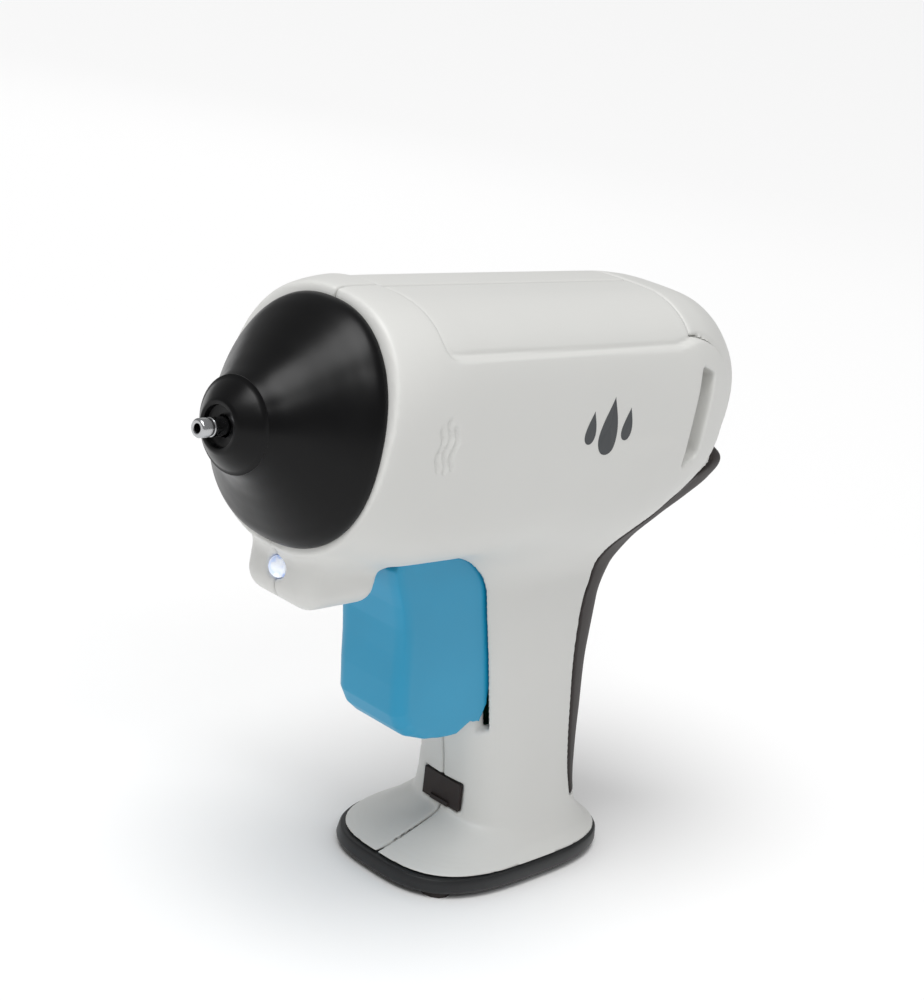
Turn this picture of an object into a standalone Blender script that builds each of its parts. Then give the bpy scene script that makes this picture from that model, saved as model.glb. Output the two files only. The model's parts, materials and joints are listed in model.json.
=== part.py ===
# Cordless hot-melt glue gun, modelled as separate pieces in their assembled places.
# Lengths are millimetres in the barrel frame: +X runs to the rear along the glue
# stick, the gun's left side is -Y, +Z is up and the origin is on the barrel's axis
# at the front face of the body. An empty puts the barrel frame above the table.
import math

import bmesh
import bpy
from mathutils import Matrix, Vector

MM = 0.001
GAP = 0.3
RUNNING = 0.1

# Overall sizes
AXIS_HEIGHT = 124.0
BODY_LENGTH = 145.5
BODY_WIDTH = 54.0
CROWN_HEIGHT = 29.4
BELLY_DEPTH = 33.5
NOSE_LENGTH = 29.4
WALL = 2.4

# Nozzle shroud
SHROUD_WIDTH = 49.0
SHROUD_HEIGHT = 54.4
SHROUD_POWER = 2.26
SHROUD_EGG = 0.07
SHROUD_RAKE = 0.105
SHROUD_WALL = 2.0
COLLAR_RADIUS = 10.3
COLLAR_X = -19.2
FACE_RADIUS = 5.1
FACE_X = -23.8
RAKE_END_X = 14.0

# Glue path
STICK_DIAMETER = 11.2
TIP_DIAMETER = 4.1
TIP_BORE = 2.1
CHAMBER_RADIUS = 9.5
CHAMBER_FRONT = -13.0
CHAMBER_REAR = 20.0
SPIGOT_RADIUS = 7.2
SPIGOT_LENGTH = 6.0
SLEEVE_REAR = 36.0
SLEEVE_WALL = 1.5
COLLAR_THICKNESS = 4.0
FRONT_FRAME_X = 8.2
FRAME_THICKNESS = 2.0
FRAME_DROP = 19.0

# Feed carriage and trigger linkage
PIVOT_X = 46.5
PIVOT_DROP = 23.5
SQUEEZE_ANGLE = 20.0
PIN_RADIUS = 1.6
JAW_PIN_RADIUS = 0.9
CARRIAGE_LENGTH = 24.0
CARRIAGE_WALL = 3.0
ARM_THICKNESS = 2.2
SPRING_WIRE = 1.2
SPRING_TURNS = 6

# Trigger blade
TRIGGER_WIDTH = 22.0
TRIGGER_WALL = 2.2

# Handle, battery and base
GRIP_THICKNESS = 2.2
HANDLE_SIDE_WALL = 3.2
CELL_DIAMETER = 18.4
CELL_LENGTH = 65.0
CELL_LEAN = 4.9
BASE_THICKNESS = 4.0
PAD_THICKNESS = 1.6
PAD_PROUD = 1.2

# Lamp housing under the shroud
CHIN_WIDTH = 20.0
CHIN_REAR = 24.6
CHIN_BOTTOM = 44.0
LAMP_DROP = 34.1
LAMP_RADIUS = 2.5

# Side slots
SLOT_WIDTH = 5.8
SLOT_HEIGHT = 26.0
SLOT_LOW = -12.0
SLOT_DEPTH = 8.0
SLOT_WALL = 1.6

# Controls
BUTTON_RADIUS = 6.0
BUTTON_X = 76.0
BUTTON_Z = 3.0
SCREW_RADIUS = 1.3
SCREW_HEAD_RADIUS = 2.6
SCREW_REACH = 5.0
BOSS_RADIUS = 3.4
PORT_LEAN = 8.0

HALF_WIDTH = BODY_WIDTH / 2
REAR_FRAME_X = CHAMBER_REAR - 4.5
REAR_SEAM = BODY_LENGTH - 40.0
HANDLE_FOOT = -(AXIS_HEIGHT - PAD_PROUD - BASE_THICKNESS) + GAP
TRIGGER_HALF = TRIGGER_WIDTH / 2
OPENING_HALF = TRIGGER_HALF + 0.5
STICK_RADIUS = STICK_DIAMETER / 2
BORE_RADIUS = STICK_RADIUS + 0.4
CARRIAGE_RADIUS = BORE_RADIUS + CARRIAGE_WALL
FLANGE_RADIUS = CARRIAGE_RADIUS + 3.2
ARM_INNER = FLANGE_RADIUS + 0.6
ARM_OUTER = ARM_INNER + ARM_THICKNESS
HALF_SQUEEZE = math.radians(SQUEEZE_ANGLE / 2)
PIN_X = PIVOT_X + PIVOT_DROP * math.tan(HALF_SQUEEZE)
CARRIAGE_FRONT = PIN_X - 5.1
PIN_LENGTH = 2 * (ARM_OUTER + 4.0)
SEAT_X = CHAMBER_REAR + SPIGOT_LENGTH
GUIDE_RADIUS = BORE_RADIUS + 1.6
PORT_Z = HANDLE_FOOT + 13.0
HANDLE_FRONT = 75.0
HANDLE_REAR = BODY_LENGTH - 27.0
CELL_BOTTOM = ((HANDLE_FRONT + HANDLE_REAR) / 2 + 2.25, HANDLE_FOOT + 10.5)

# Rear edge of the trigger blade from its top down, measured from the pivot
BLADE_REAR = [(8.5, -14.5), (12.0, -19.5), (15.5, -26.5), (18.5, -34.5), (21.1, -42.7),
              (21.6, -52.5)]
BLADE_HEEL = (20.6, -56.5)
BLADE_SPARE = 1.3

# Body sections, front to rear: x, half width, top, bottom, superellipse power
BODY_SECTIONS = [
    (0.0, SHROUD_WIDTH / 2 + 1.3, SHROUD_HEIGHT / 2 + 1.4, SHROUD_HEIGHT / 2 + 1.4, 2.3),
    (3.0, HALF_WIDTH - 0.8, CROWN_HEIGHT - 0.4, BELLY_DEPTH - 4.3, 2.4),
    (8.0, HALF_WIDTH - 0.4, CROWN_HEIGHT - 0.1, BELLY_DEPTH - 2.9, 2.6),
    (14.0, HALF_WIDTH - 0.2, CROWN_HEIGHT, BELLY_DEPTH - 1.5, 2.9),
    (24.0, HALF_WIDTH, CROWN_HEIGHT, BELLY_DEPTH - 0.5, 3.1),
    (60.0, HALF_WIDTH, CROWN_HEIGHT, BELLY_DEPTH, 3.2),
    (REAR_SEAM, HALF_WIDTH - 0.4, CROWN_HEIGHT, BELLY_DEPTH - 1.5, 3.2),
    (BODY_LENGTH - 32.0, HALF_WIDTH - 0.8, CROWN_HEIGHT - 0.4, BELLY_DEPTH - 3.5, 3.0),
    (BODY_LENGTH - 24.0, HALF_WIDTH - 2.1, CROWN_HEIGHT - 1.8, BELLY_DEPTH - 6.5, 2.8),
    (BODY_LENGTH - 16.0, HALF_WIDTH - 4.7, CROWN_HEIGHT - 4.8, BELLY_DEPTH - 9.5, 2.6),
    (BODY_LENGTH - 9.0, HALF_WIDTH - 8.2, CROWN_HEIGHT - 9.2, BELLY_DEPTH - 13.0, 2.4),
    (BODY_LENGTH - 4.5, HALF_WIDTH - 11.6, CROWN_HEIGHT - 13.4, BELLY_DEPTH - 16.0, 2.3),
    (BODY_LENGTH - 1.0, HALF_WIDTH - 15.4, CROWN_HEIGHT - 17.4, BELLY_DEPTH - 19.5, 2.2),
    (BODY_LENGTH, HALF_WIDTH - 17.0, CROWN_HEIGHT - 19.4, BELLY_DEPTH - 23.0, 2.0),
]

# Handle sections, top to bottom: z, front x, rear x, half width, power
HANDLE_SECTIONS = [
    (-12.0, 46.0, BODY_LENGTH - 1.5, 20.5, 3.4),
    (-16.0, 46.0, BODY_LENGTH + 2.5, 21.0, 3.6),
    (-20.0, 46.5, BODY_LENGTH + 1.0, 20.3, 3.3),
    (-25.0, 47.0, BODY_LENGTH - 3.5, 19.0, 2.9),
    (-30.0, 48.0, BODY_LENGTH - 11.0, 17.6, 2.6),
    (-36.0, 50.0, BODY_LENGTH - 21.5, 16.4, 2.5),
    (-43.0, 53.0, BODY_LENGTH - 29.0, 15.6, 2.5),
    (-52.0, 57.0, BODY_LENGTH - 32.0, 15.3, 2.6),
    (-65.0, 62.5, BODY_LENGTH - 32.0, 15.2, 2.7),
    (-85.0, 70.0, BODY_LENGTH - 29.5, 15.3, 2.8),
    (HANDLE_FOOT + 18.0, HANDLE_FRONT, HANDLE_REAR, 15.8, 2.8),
    (HANDLE_FOOT + 8.0, 76.5, BODY_LENGTH - 24.5, 17.2, 2.8),
    (HANDLE_FOOT + 3.0, 65.0, BODY_LENGTH - 20.5, 20.0, 2.9),
    (HANDLE_FOOT, 54.0, BODY_LENGTH - 16.0, 23.5, 3.0),
]

# Edge of the soft grip in side view, from the tang down to the foot
GRIP_EDGE = [
    (BODY_LENGTH - 6.5, -13.5), (BODY_LENGTH - 11.0, -17.5), (BODY_LENGTH - 21.0, -22.0),
    (BODY_LENGTH - 28.6, -25.5), (BODY_LENGTH - 35.4, -29.5), (BODY_LENGTH - 41.3, -34.0),
    (BODY_LENGTH - 45.0, -39.0), (BODY_LENGTH - 46.8, -44.0), (BODY_LENGTH - 47.5, -50.0),
    (BODY_LENGTH - 46.5, -60.0), (BODY_LENGTH - 44.0, -72.0), (BODY_LENGTH - 40.5, -86.0),
    (BODY_LENGTH - 37.0, HANDLE_FOOT + 20.0), (BODY_LENGTH - 33.0, HANDLE_FOOT + 10.0),
]

# Parting line between the body halves and the rear cap in side view, top to bottom
CAP_EDGE = [
    (REAR_SEAM, CROWN_HEIGHT + 8.0), (REAR_SEAM, CROWN_HEIGHT - 8.6),
    (REAR_SEAM + 8.0, CROWN_HEIGHT - 10.6), (REAR_SEAM + 15.0, CROWN_HEIGHT - 14.2),
    (REAR_SEAM + 20.5, CROWN_HEIGHT - 20.0), (REAR_SEAM + 23.3, 3.0),
    (REAR_SEAM + 23.8, -3.0), (REAR_SEAM + 23.0, -9.0), (REAR_SEAM + 22.5, -26.0),
]

SCREWS = [
    (24.0, CROWN_HEIGHT - 8.4), (REAR_SEAM - 8.0, CROWN_HEIGHT - 8.4),
    (17.5, -(CHIN_BOTTOM - 7.0)), (BODY_LENGTH - 29.0, -20.0),
    (80.0, -96.0), (BODY_LENGTH - 44.0, HANDLE_FOOT + 5.5),
]


def material(name, color, roughness, metallic=0.0):
    mat = bpy.data.materials.new(name)
    mat.use_nodes = True
    shader = mat.node_tree.nodes["Principled BSDF"]
    shader.inputs["Base Color"].default_value = (*color, 1.0)
    shader.inputs["Roughness"].default_value = roughness
    shader.inputs["Metallic"].default_value = metallic
    return mat


def body_from(name, verts, faces):
    # Closed mesh from millimetre points, faces turned outward
    mesh = bpy.data.meshes.new(name)
    mesh.from_pydata([Vector(v) * MM for v in verts], [], faces)
    work = bmesh.new()
    work.from_mesh(mesh)
    bmesh.ops.recalc_face_normals(work, faces=work.faces)
    if work.calc_volume(signed=True) < 0:
        bmesh.ops.reverse_faces(work, faces=work.faces)
    work.to_mesh(mesh)
    work.free()
    obj = bpy.data.objects.new(name, mesh)
    bpy.context.scene.collection.objects.link(obj)
    return obj


def loft(name, rings):
    count = len(rings[0])
    verts = [point for ring in rings for point in ring]
    faces = [list(range(count))]
    for k in range(len(rings) - 1):
        for i in range(count):
            j = (i + 1) % count
            faces.append([k * count + i, k * count + j,
                          (k + 1) * count + j, (k + 1) * count + i])
    last = (len(rings) - 1) * count
    faces.append([last + i for i in range(count)])
    return body_from(name, verts, faces)


def oval(count, half_width, top, bottom, power):
    # Superellipse with its own top and bottom radius, as (y, z) pairs
    points = []
    for i in range(count):
        angle = 2 * math.pi * (i + 0.5) / count
        c = math.cos(angle)
        s = math.sin(angle)
        y = half_width * math.copysign(abs(c) ** (2 / power), c)
        height = top if s > 0 else bottom
        z = height * math.copysign(abs(s) ** (2 / power), s)
        points.append((y, z))
    return points


def body_loft(name, inset, start=0.0, end=None, count=26):
    # Barrel part of the outer form, pulled in by the inset on every side
    rings = []
    stop = BODY_LENGTH - inset if end is None else end
    for x, half, top, bottom, power in BODY_SECTIONS:
        pulled = min(x, stop)
        if x == 0.0:
            pulled = start
        rake = SHROUD_RAKE * max(0.0, 1 - max(pulled, 0.0) / RAKE_END_X)
        ring = oval(count, max(half - inset, 2.0), max(top - inset, 2.0),
                    max(bottom - inset, 2.0), power)
        if rings and pulled - rings[-1][0][0] < 0.05 and rake == 0.0:
            continue
        rings.append([(pulled + rake * z, y, z) for y, z in ring])
    return loft(name, rings)


def handle_loft(name, front, rear, side, foot=0.0, count=20):
    # Handle and rear tang, pulled in separately at its front, rear and sides
    rings = []
    for z, x0, x1, half, power in HANDLE_SECTIONS:
        middle = (x0 + front + x1 - rear) / 2
        depth = (x1 - rear - x0 - front) / 2
        level = z
        if z == HANDLE_SECTIONS[-1][0]:
            level = z + foot
        ring = oval(count, half - side, depth, depth, power)
        rings.append([(middle - x, y, level) for y, x in ring])
    return loft(name, rings)


def chin_loft(name, inset, count=14):
    rings = []
    middle = (CHIN_REAR + 0.6) / 2
    depth = (CHIN_REAR - 0.6) / 2
    for z, share in ((-20.0, 1.0), (-CHIN_BOTTOM + 6.0, 1.0), (-CHIN_BOTTOM + 2.0, 0.93),
                     (-CHIN_BOTTOM, 0.74)):
        level = max(z, -CHIN_BOTTOM + inset)
        ring = oval(count, CHIN_WIDTH / 2 * share - inset, depth * share - inset,
                    depth * share - inset, 2.9)
        rings.append([(middle - x, y, level) for y, x in ring])
        if level > z:
            break
    return loft(name, rings)


def turned(name, profile, segments=20, axis="X"):
    # Solid of revolution from a closed (position, radius) profile
    rings = []
    for i in range(segments):
        angle = 2 * math.pi * i / segments
        c = math.cos(angle)
        s = math.sin(angle)
        rings.append([(p, r * c, r * s) for p, r in profile])
    count = len(profile)
    verts = [point for ring in rings for point in ring]
    faces = []
    for k in range(segments):
        n = (k + 1) % segments
        for i in range(count):
            j = (i + 1) % count
            faces.append([k * count + i, k * count + j, n * count + j, n * count + i])
    obj = body_from(name, verts, faces)
    if axis == "Z":
        obj.data.transform(Matrix.Rotation(math.radians(-90), 4, "Y"))
    if axis == "Y":
        obj.data.transform(Matrix.Rotation(math.radians(90), 4, "Z"))
    return obj


def disc_rod(name, start, end, radius, segments=14):
    # Solid round bar between two points
    a = Vector(start)
    b = Vector(end)
    turn = (b - a).to_track_quat("Z", "Y").to_matrix()
    rings = []
    for t in (0.0, 1.0):
        ring = []
        for i in range(segments):
            angle = 2 * math.pi * i / segments
            local = Vector((radius * math.cos(angle), radius * math.sin(angle), 0.0))
            ring.append(a.lerp(b, t) + turn @ local)
        rings.append(ring)
    return loft(name, rings)


def block(name, x0, x1, y0, y1, z0, z1):
    rings = [[(x, y0, z0), (x, y1, z0), (x, y1, z1), (x, y0, z1)] for x in (x0, x1)]
    return loft(name, rings)


def prism(name, outline, y0, y1):
    # Side-view outline pushed through from y0 to y1
    return loft(name, [[(x, y, z) for x, z in outline] for y in (y0, y1)])


def closed(mesh):
    work = bmesh.new()
    work.from_mesh(mesh)
    whole = len(work.faces) > 0 and all(len(edge.link_faces) == 2 for edge in work.edges)
    work.free()
    return whole


def combine(target, tool, how):
    # Boolean with the tool used up; the manifold solver takes over where exact leaves a gap
    step = target.modifiers.new(how, "BOOLEAN")
    step.operation = how
    step.object = tool
    for solver in ("EXACT", "MANIFOLD"):
        step.solver = solver
        bpy.context.view_layer.update()
        graph = bpy.context.evaluated_depsgraph_get()
        result = bpy.data.meshes.new_from_object(target.evaluated_get(graph))
        if closed(result):
            break
    target.modifiers.clear()
    target.data = result
    bpy.data.objects.remove(tool)
    return target


def join(target, *tools):
    for tool in tools:
        combine(target, tool, "UNION")
    return target


def cut(target, *tools):
    for tool in tools:
        combine(target, tool, "DIFFERENCE")
    return target


def keep(target, tool):
    return combine(target, tool, "INTERSECT")


def copy_of(obj, name):
    twin = bpy.data.objects.new(name, obj.data.copy())
    bpy.context.scene.collection.objects.link(twin)
    return twin


def slot_block(name, side, grow, depth):
    # Upright finger slot behind each flank, or the box that walls it in
    x0 = REAR_SEAM + 4.3
    skin = side_width(x0 + SLOT_WIDTH / 2, 0.0)
    y0 = side * (skin - depth)
    y1 = side * (HALF_WIDTH + 6.0)
    return block(name, x0 - grow, x0 + SLOT_WIDTH + grow, min(y0, y1), max(y0, y1),
                 SLOT_LOW - grow, SLOT_LOW + SLOT_HEIGHT + grow)


def mirrored(obj, name):
    # Twin on the other side of the gun's middle plane
    twin = copy_of(obj, name)
    twin.data.transform(Matrix.Scale(-1, 4, Vector((0, 1, 0))))
    twin.data.flip_normals()
    return twin


def outer_form(inset):
    form = body_loft("form", inset)
    return join(form, handle_loft("handle", inset, inset, inset), chin_loft("chin", inset))


def cavity_form():
    form = body_loft("cavity", WALL, start=-4.0)
    rear_inset = GRIP_THICKNESS + GAP + 1.5
    handle = handle_loft("hollow", WALL, rear_inset, HANDLE_SIDE_WALL, foot=-4.0)
    return join(form, handle, chin_loft("chin_hollow", WALL))


def beyond(edge, far_x, low, high):
    # Closed side-view outline of everything behind an edge
    top = (far_x, high)
    bottom = (far_x, low)
    return list(edge) + [bottom, top]


def grown(edge, amount):
    # Edge moved square to itself, toward its left side when walked in order
    moved = []
    for i, (x, z) in enumerate(edge):
        x0, z0 = edge[max(i - 1, 0)]
        x1, z1 = edge[min(i + 1, len(edge) - 1)]
        length = math.hypot(x1 - x0, z1 - z0)
        moved.append((x + amount * (z1 - z0) / length, z - amount * (x1 - x0) / length))
    return moved


def grip_outline(extra):
    edge = grown(GRIP_EDGE, extra)
    foot_x, foot_z = edge[-1]
    tail = [(BODY_LENGTH, foot_z - extra), (BODY_LENGTH + 30.0, foot_z - extra)]
    head = [(BODY_LENGTH + 30.0, edge[0][1] + 1.0), (edge[0][0] + 4.0, edge[0][1] + 0.4)]
    return edge + tail + head


def cap_outline(extra):
    edge = grown(CAP_EDGE, extra)
    return beyond(edge, BODY_LENGTH + 30.0, edge[-1][1], edge[0][1])


def internal_frames():
    # Bulkheads and screw bosses, trimmed to end inside the wall
    frames = []
    collar_hole = CHAMBER_RADIUS + COLLAR_THICKNESS + GAP
    for x, thick, hole in ((FRONT_FRAME_X, FRAME_THICKNESS, collar_hole),
                           (REAR_FRAME_X, FRAME_THICKNESS, collar_hole),
                           (SEAT_X - 2.0, 2.0, SPIGOT_RADIUS + SLEEVE_WALL + 1.6),
                           (REAR_SEAM - 2.0, 2.0, GUIDE_RADIUS + GAP)):
        plate = block("plate", x, x + thick, -HALF_WIDTH, HALF_WIDTH, -FRAME_DROP,
                      CROWN_HEIGHT)
        cut(plate, disc_rod("hole", (x - 1, 0, 0), (x + thick + 1, 0, 0), hole, 20))
        frames.append(plate)
    for side in (-1, 1):
        frames.append(slot_block("slot_box", side, SLOT_WALL, SLOT_DEPTH + SLOT_WALL))
    for x, z in SCREWS:
        frames.append(disc_rod("boss", (x, -HALF_WIDTH, z), (x, HALF_WIDTH, z),
                               BOSS_RADIUS, 10))
    for side in (-1, 1):
        frames.append(disc_rod("boss", (PIVOT_X, side * (ARM_OUTER + GAP), -PIVOT_DROP),
                               (PIVOT_X, side * HALF_WIDTH, -PIVOT_DROP), 4.0, 12))
    return frames


def make_shells():
    shell = outer_form(0.0)
    cut(shell, cavity_form())
    limit = body_loft("limit", WALL / 2, start=-3.0)
    join(limit, handle_loft("limit_handle", WALL / 2, GRIP_THICKNESS + GAP + 0.7,
                            HANDLE_SIDE_WALL / 2), chin_loft("limit_chin", WALL / 2))
    frames = internal_frames()
    for frame in frames:
        keep(frame, copy_of(limit, "limit_copy"))
        join(shell, frame)
    bpy.data.objects.remove(limit)
    cut(shell, prism("cap_space", cap_outline(GAP / 2), -60, 60))
    pocket = prism("grip_space", grip_outline(GAP), -60, 60)
    cut(pocket, outer_form(GRIP_THICKNESS + GAP))
    cut(shell, pocket)
    cut(shell, trigger_opening(), lamp_hole(), port_hole(), plug_pocket())
    for side in (-1, 1):
        cut(shell, slot_block("slot_space", side, 0.0, SLOT_DEPTH))
    cut(shell, disc_rod("pivot_hole", (PIVOT_X, -PIN_LENGTH / 2 - GAP, -PIVOT_DROP),
                        (PIVOT_X, PIN_LENGTH / 2 + GAP, -PIVOT_DROP), PIN_RADIUS + GAP, 16))
    cut(shell, block("other_side", -40, 200, -GAP / 2, 70, -150, 60))
    left = copy_of(shell, "left_shell")
    right = mirrored(shell, "right_shell")
    bpy.data.objects.remove(shell)
    for x, z in SCREWS:
        face = screw_face(x, z)
        cut(right, disc_rod("screw_way", (x, -5, z), (x, 60, z), SCREW_RADIUS + GAP, 8))
        cut(right, disc_rod("head_way", (x, face, z), (x, 60, z),
                            SCREW_HEAD_RADIUS + GAP, 10))
        cut(left, disc_rod("screw_bore", (x, -SCREW_REACH - GAP, z), (x, 5, z),
                           SCREW_RADIUS + GAP, 8))
    cut(right, disc_rod("button_way", (BUTTON_X, 15, BUTTON_Z), (BUTTON_X, 60, BUTTON_Z),
                        BUTTON_RADIUS + GAP, 20))
    cut(right, disc_rod("light_way", (BUTTON_X + 14, 15, BUTTON_Z),
                        (BUTTON_X + 14, 60, BUTTON_Z), 1.5 + GAP, 14))
    return left, right


def section_at(table, position):
    # Straight-line reading between two rows of a section table
    rows = sorted(table)
    for low, high in zip(rows, rows[1:]):
        if low[0] <= position <= high[0]:
            t = (position - low[0]) / (high[0] - low[0])
            return [a + t * (b - a) for a, b in zip(low, high)]
    return list(rows[0] if position < rows[0][0] else rows[-1])


def side_width(x, z):
    # Half width of the outer form at a side-view point
    _, half, top, bottom, power = section_at(BODY_SECTIONS, x)
    height = top if z > 0 else bottom
    share = min(abs(z) / height, 1.0)
    width = half * (1 - share ** power) ** (1 / power)
    if z < -12.0:
        _, x0, x1, handle_half, handle_power = section_at(HANDLE_SECTIONS, z)
        share = min(abs(x - (x0 + x1) / 2) / ((x1 - x0) / 2), 1.0)
        width = max(width, handle_half * (1 - share ** handle_power) ** (1 / handle_power))
    if z < -24.0 and x < CHIN_REAR:
        width = max(width, CHIN_WIDTH / 2 * 0.9)
    return width


def screw_face(x, z):
    # Depth of the screw head's seat on the right side
    return max(side_width(x, z) - 5.0, 3.0)


def make_screws(mat):
    for number, (x, z) in enumerate(SCREWS, 1):
        seat = screw_face(x, z) + GAP
        screw = turned("screw_%d" % number,
                       [(-SCREW_REACH, 0.01), (-SCREW_REACH, SCREW_RADIUS),
                        (seat, SCREW_RADIUS), (seat, SCREW_HEAD_RADIUS),
                        (seat + 1.2, SCREW_HEAD_RADIUS), (seat + 1.8, SCREW_HEAD_RADIUS - 0.8),
                        (seat + 1.8, 0.01)], 10, "Y")
        fill_axis(screw)
        screw.location = Vector((x, 0, z)) * MM
        cross = block("cross", -0.4, 0.4, seat + 0.9, seat + 3, -1.6, 1.6)
        cross.location = screw.location
        cut(screw, cross)
        screw.data.materials.clear()
        screw.data.materials.append(mat)


def fill_axis(obj):
    # Closes the hairline a turned solid leaves along its own axis
    work = bmesh.new()
    work.from_mesh(obj.data)
    bmesh.ops.remove_doubles(work, verts=work.verts, dist=0.03 * MM)
    loose = [edge for edge in work.edges if not edge.link_faces]
    bmesh.ops.delete(work, geom=loose, context="EDGES")
    bmesh.ops.recalc_face_normals(work, faces=work.faces)
    work.to_mesh(obj.data)
    work.free()


def swung(dx, dz, share):
    # Point given from the pivot, turned by a share of the full squeeze
    angle = math.radians(SQUEEZE_ANGLE) * share
    return (PIVOT_X + dx * math.cos(angle) - dz * math.sin(angle),
            -PIVOT_DROP + dz * math.cos(angle) + dx * math.sin(angle))


def trigger_opening():
    # Well in the handle that clears the blade from rest to fully squeezed
    edge = [swung(dx + BLADE_SPARE, dz + 0.8, 1.0) for dx, dz in BLADE_REAR]
    heel = (BLADE_HEEL[0] + 1.2, BLADE_HEEL[1] - 1.4)
    edge += [swung(*heel, share) for share in (1.0, 0.5, 0.0)]
    outline = [(26.0, -26.0), (PIVOT_X + 6.0, -26.0)] + edge
    outline += [(PIVOT_X + 17.5, -84.0), (50.0, -84.0), (26.0, -70.0)]
    return prism("trigger_well", outline, -OPENING_HALF, OPENING_HALF)


def lamp_hole():
    return disc_rod("lamp_way", (-6, 0, -LAMP_DROP), (9, 0, -LAMP_DROP),
                    LAMP_RADIUS + GAP, 20)


def port_frame():
    row = section_at(HANDLE_SECTIONS, PORT_Z)
    return Matrix.Translation(Vector((row[1], 0, PORT_Z)) * MM) @ Matrix.Rotation(
        math.radians(-PORT_LEAN), 4, "Y")


def port_hole():
    hole = block("port_way", -5, 6, -4.9, 4.9, -2.0, 2.0)
    hole.data.transform(port_frame())
    return hole


def plug_pocket():
    pocket = block("plug_space", -5, 1.7, -6.6, 6.6, -4.3, 4.3)
    pocket.data.transform(port_frame())
    return pocket


def make_port(metal, rubber, board):
    socket = block("usb_socket", 2.2, 10.0, -4.5, 4.5, -1.65, 1.65)
    cut(socket, block("mouth", 1, 8.6, -4.0, 4.0, -1.15, 1.15))
    join(socket, block("tongue", 4.0, 9.5, -3.0, 3.0, -0.35, 0.35))
    socket.data.transform(port_frame())
    give(socket, metal)
    cover = block("usb_cover", 0.2, 1.4, -6.2, 6.2, -3.9, 3.9)
    join(cover, block("lip", -0.5, 0.4, -3.0, 3.0, -3.7, -2.5))
    cover.data.transform(port_frame())
    give(cover, rubber)
    strip = block("port_board", 4.4, 12.0, -6.0, 6.0, -3.5, -1.95)
    strip.data.transform(port_frame())
    give(strip, board)


def give(obj, mat):
    obj.data.materials.clear()
    obj.data.materials.append(mat)
    return obj


def make_rear_cap(mat):
    cap = body_loft("rear_cap", 0.0)
    join(cap, handle_loft("cap_tail", 0.0, 0.0, 0.0))
    hollow = body_loft("cap_hollow", WALL)
    join(hollow, handle_loft("tail_hollow", WALL, GRIP_THICKNESS + GAP + 1.5,
                             HANDLE_SIDE_WALL))
    cut(cap, hollow)
    keep(cap, prism("cap_part", cap_outline(-GAP / 2), -60, 60))
    cut(cap, prism("grip_part", grip_outline(2 * GAP), -60, 60))
    cut(cap, disc_rod("inlet_way", (BODY_LENGTH - 10, 0, 0), (BODY_LENGTH + 5, 0, 0),
                      GUIDE_RADIUS + GAP, 20))
    return give(cap, mat)


def make_grip(mat):
    grip = outer_form(0.0)
    cut(grip, outer_form(GRIP_THICKNESS))
    keep(grip, prism("grip_part", grip_outline(0.0), -60, 60))
    grip.name = "grip"
    return give(grip, mat)


def shroud_ring(count, x, share, inset, circle):
    # Front oval easing into a true circle toward the collar
    ring = []
    oval_points = oval(count, SHROUD_WIDTH / 2, SHROUD_HEIGHT / 2, SHROUD_HEIGHT / 2,
                       SHROUD_POWER)
    for i, (y, z) in enumerate(oval_points):
        y *= 1 - SHROUD_EGG * z / (SHROUD_HEIGHT / 2)
        angle = 2 * math.pi * (i + 0.5) / count
        radius = SHROUD_WIDTH / 2
        y = y * (1 - circle) + radius * math.cos(angle) * circle
        z = z * (1 - circle) + radius * math.sin(angle) * circle
        length = math.hypot(y, z)
        scale = (share * length - inset) / length
        ring.append((y * scale, z * scale))
    rake = SHROUD_RAKE * (1 - circle)
    return [(x + rake * z, y, z) for y, z in ring]


def make_shroud(mat):
    base = SHROUD_WIDTH / 2
    collar = COLLAR_RADIUS / base
    face = FACE_RADIUS / base
    rows = [(-GAP / 2, 1.0, 0.0), (-1.5, 0.99, 0.05), (-3.5, 0.945, 0.12), (-6.0, 0.855, 0.25),
            (-9.0, 0.735, 0.42), (-12.5, 0.60, 0.65), (-16.0, 0.49, 0.85)]
    count = 28
    outer = [shroud_ring(count, x, share, 0.0, circle) for x, share, circle in rows]
    outer.append(shroud_ring(count, COLLAR_X, collar, 0.0, 1.0))
    outer.append(shroud_ring(count, COLLAR_X - 1.6, collar * 0.9, 0.0, 1.0))
    outer.append(shroud_ring(count, COLLAR_X - 3.4, (collar + face) / 2 * 0.96, 0.0, 1.0))
    outer.append(shroud_ring(count, FACE_X, face, 0.0, 1.0))
    shroud = loft("nozzle_shroud", outer)
    spigot = []
    for x in (-1.0, 6.0):
        ring = oval(count, SHROUD_WIDTH / 2 + 1.3 - WALL - GAP,
                    SHROUD_HEIGHT / 2 + 1.4 - WALL - GAP,
                    SHROUD_HEIGHT / 2 + 1.4 - WALL - GAP, 2.3)
        rake = SHROUD_RAKE * (1 - max(x, 0.0) / RAKE_END_X)
        spigot.append([(x + rake * z, y, z) for y, z in ring])
    join(shroud, loft("spigot", spigot))
    inner = [shroud_ring(count, 8.0, 0.97, SHROUD_WALL + 2.0, 0.0)]
    for x, share, circle in rows:
        inner.append(shroud_ring(count, x, share * 0.985, SHROUD_WALL + 0.4, circle))
    inner.append(shroud_ring(count, COLLAR_X, collar, SHROUD_WALL, 1.0))
    cut(shroud, loft("shroud_hollow", inner))
    cut(shroud, disc_rod("tip_way", (-40, 0, 0), (0, 0, 0), TIP_DIAMETER / 2 + GAP, 18))
    return give(shroud, mat)


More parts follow.
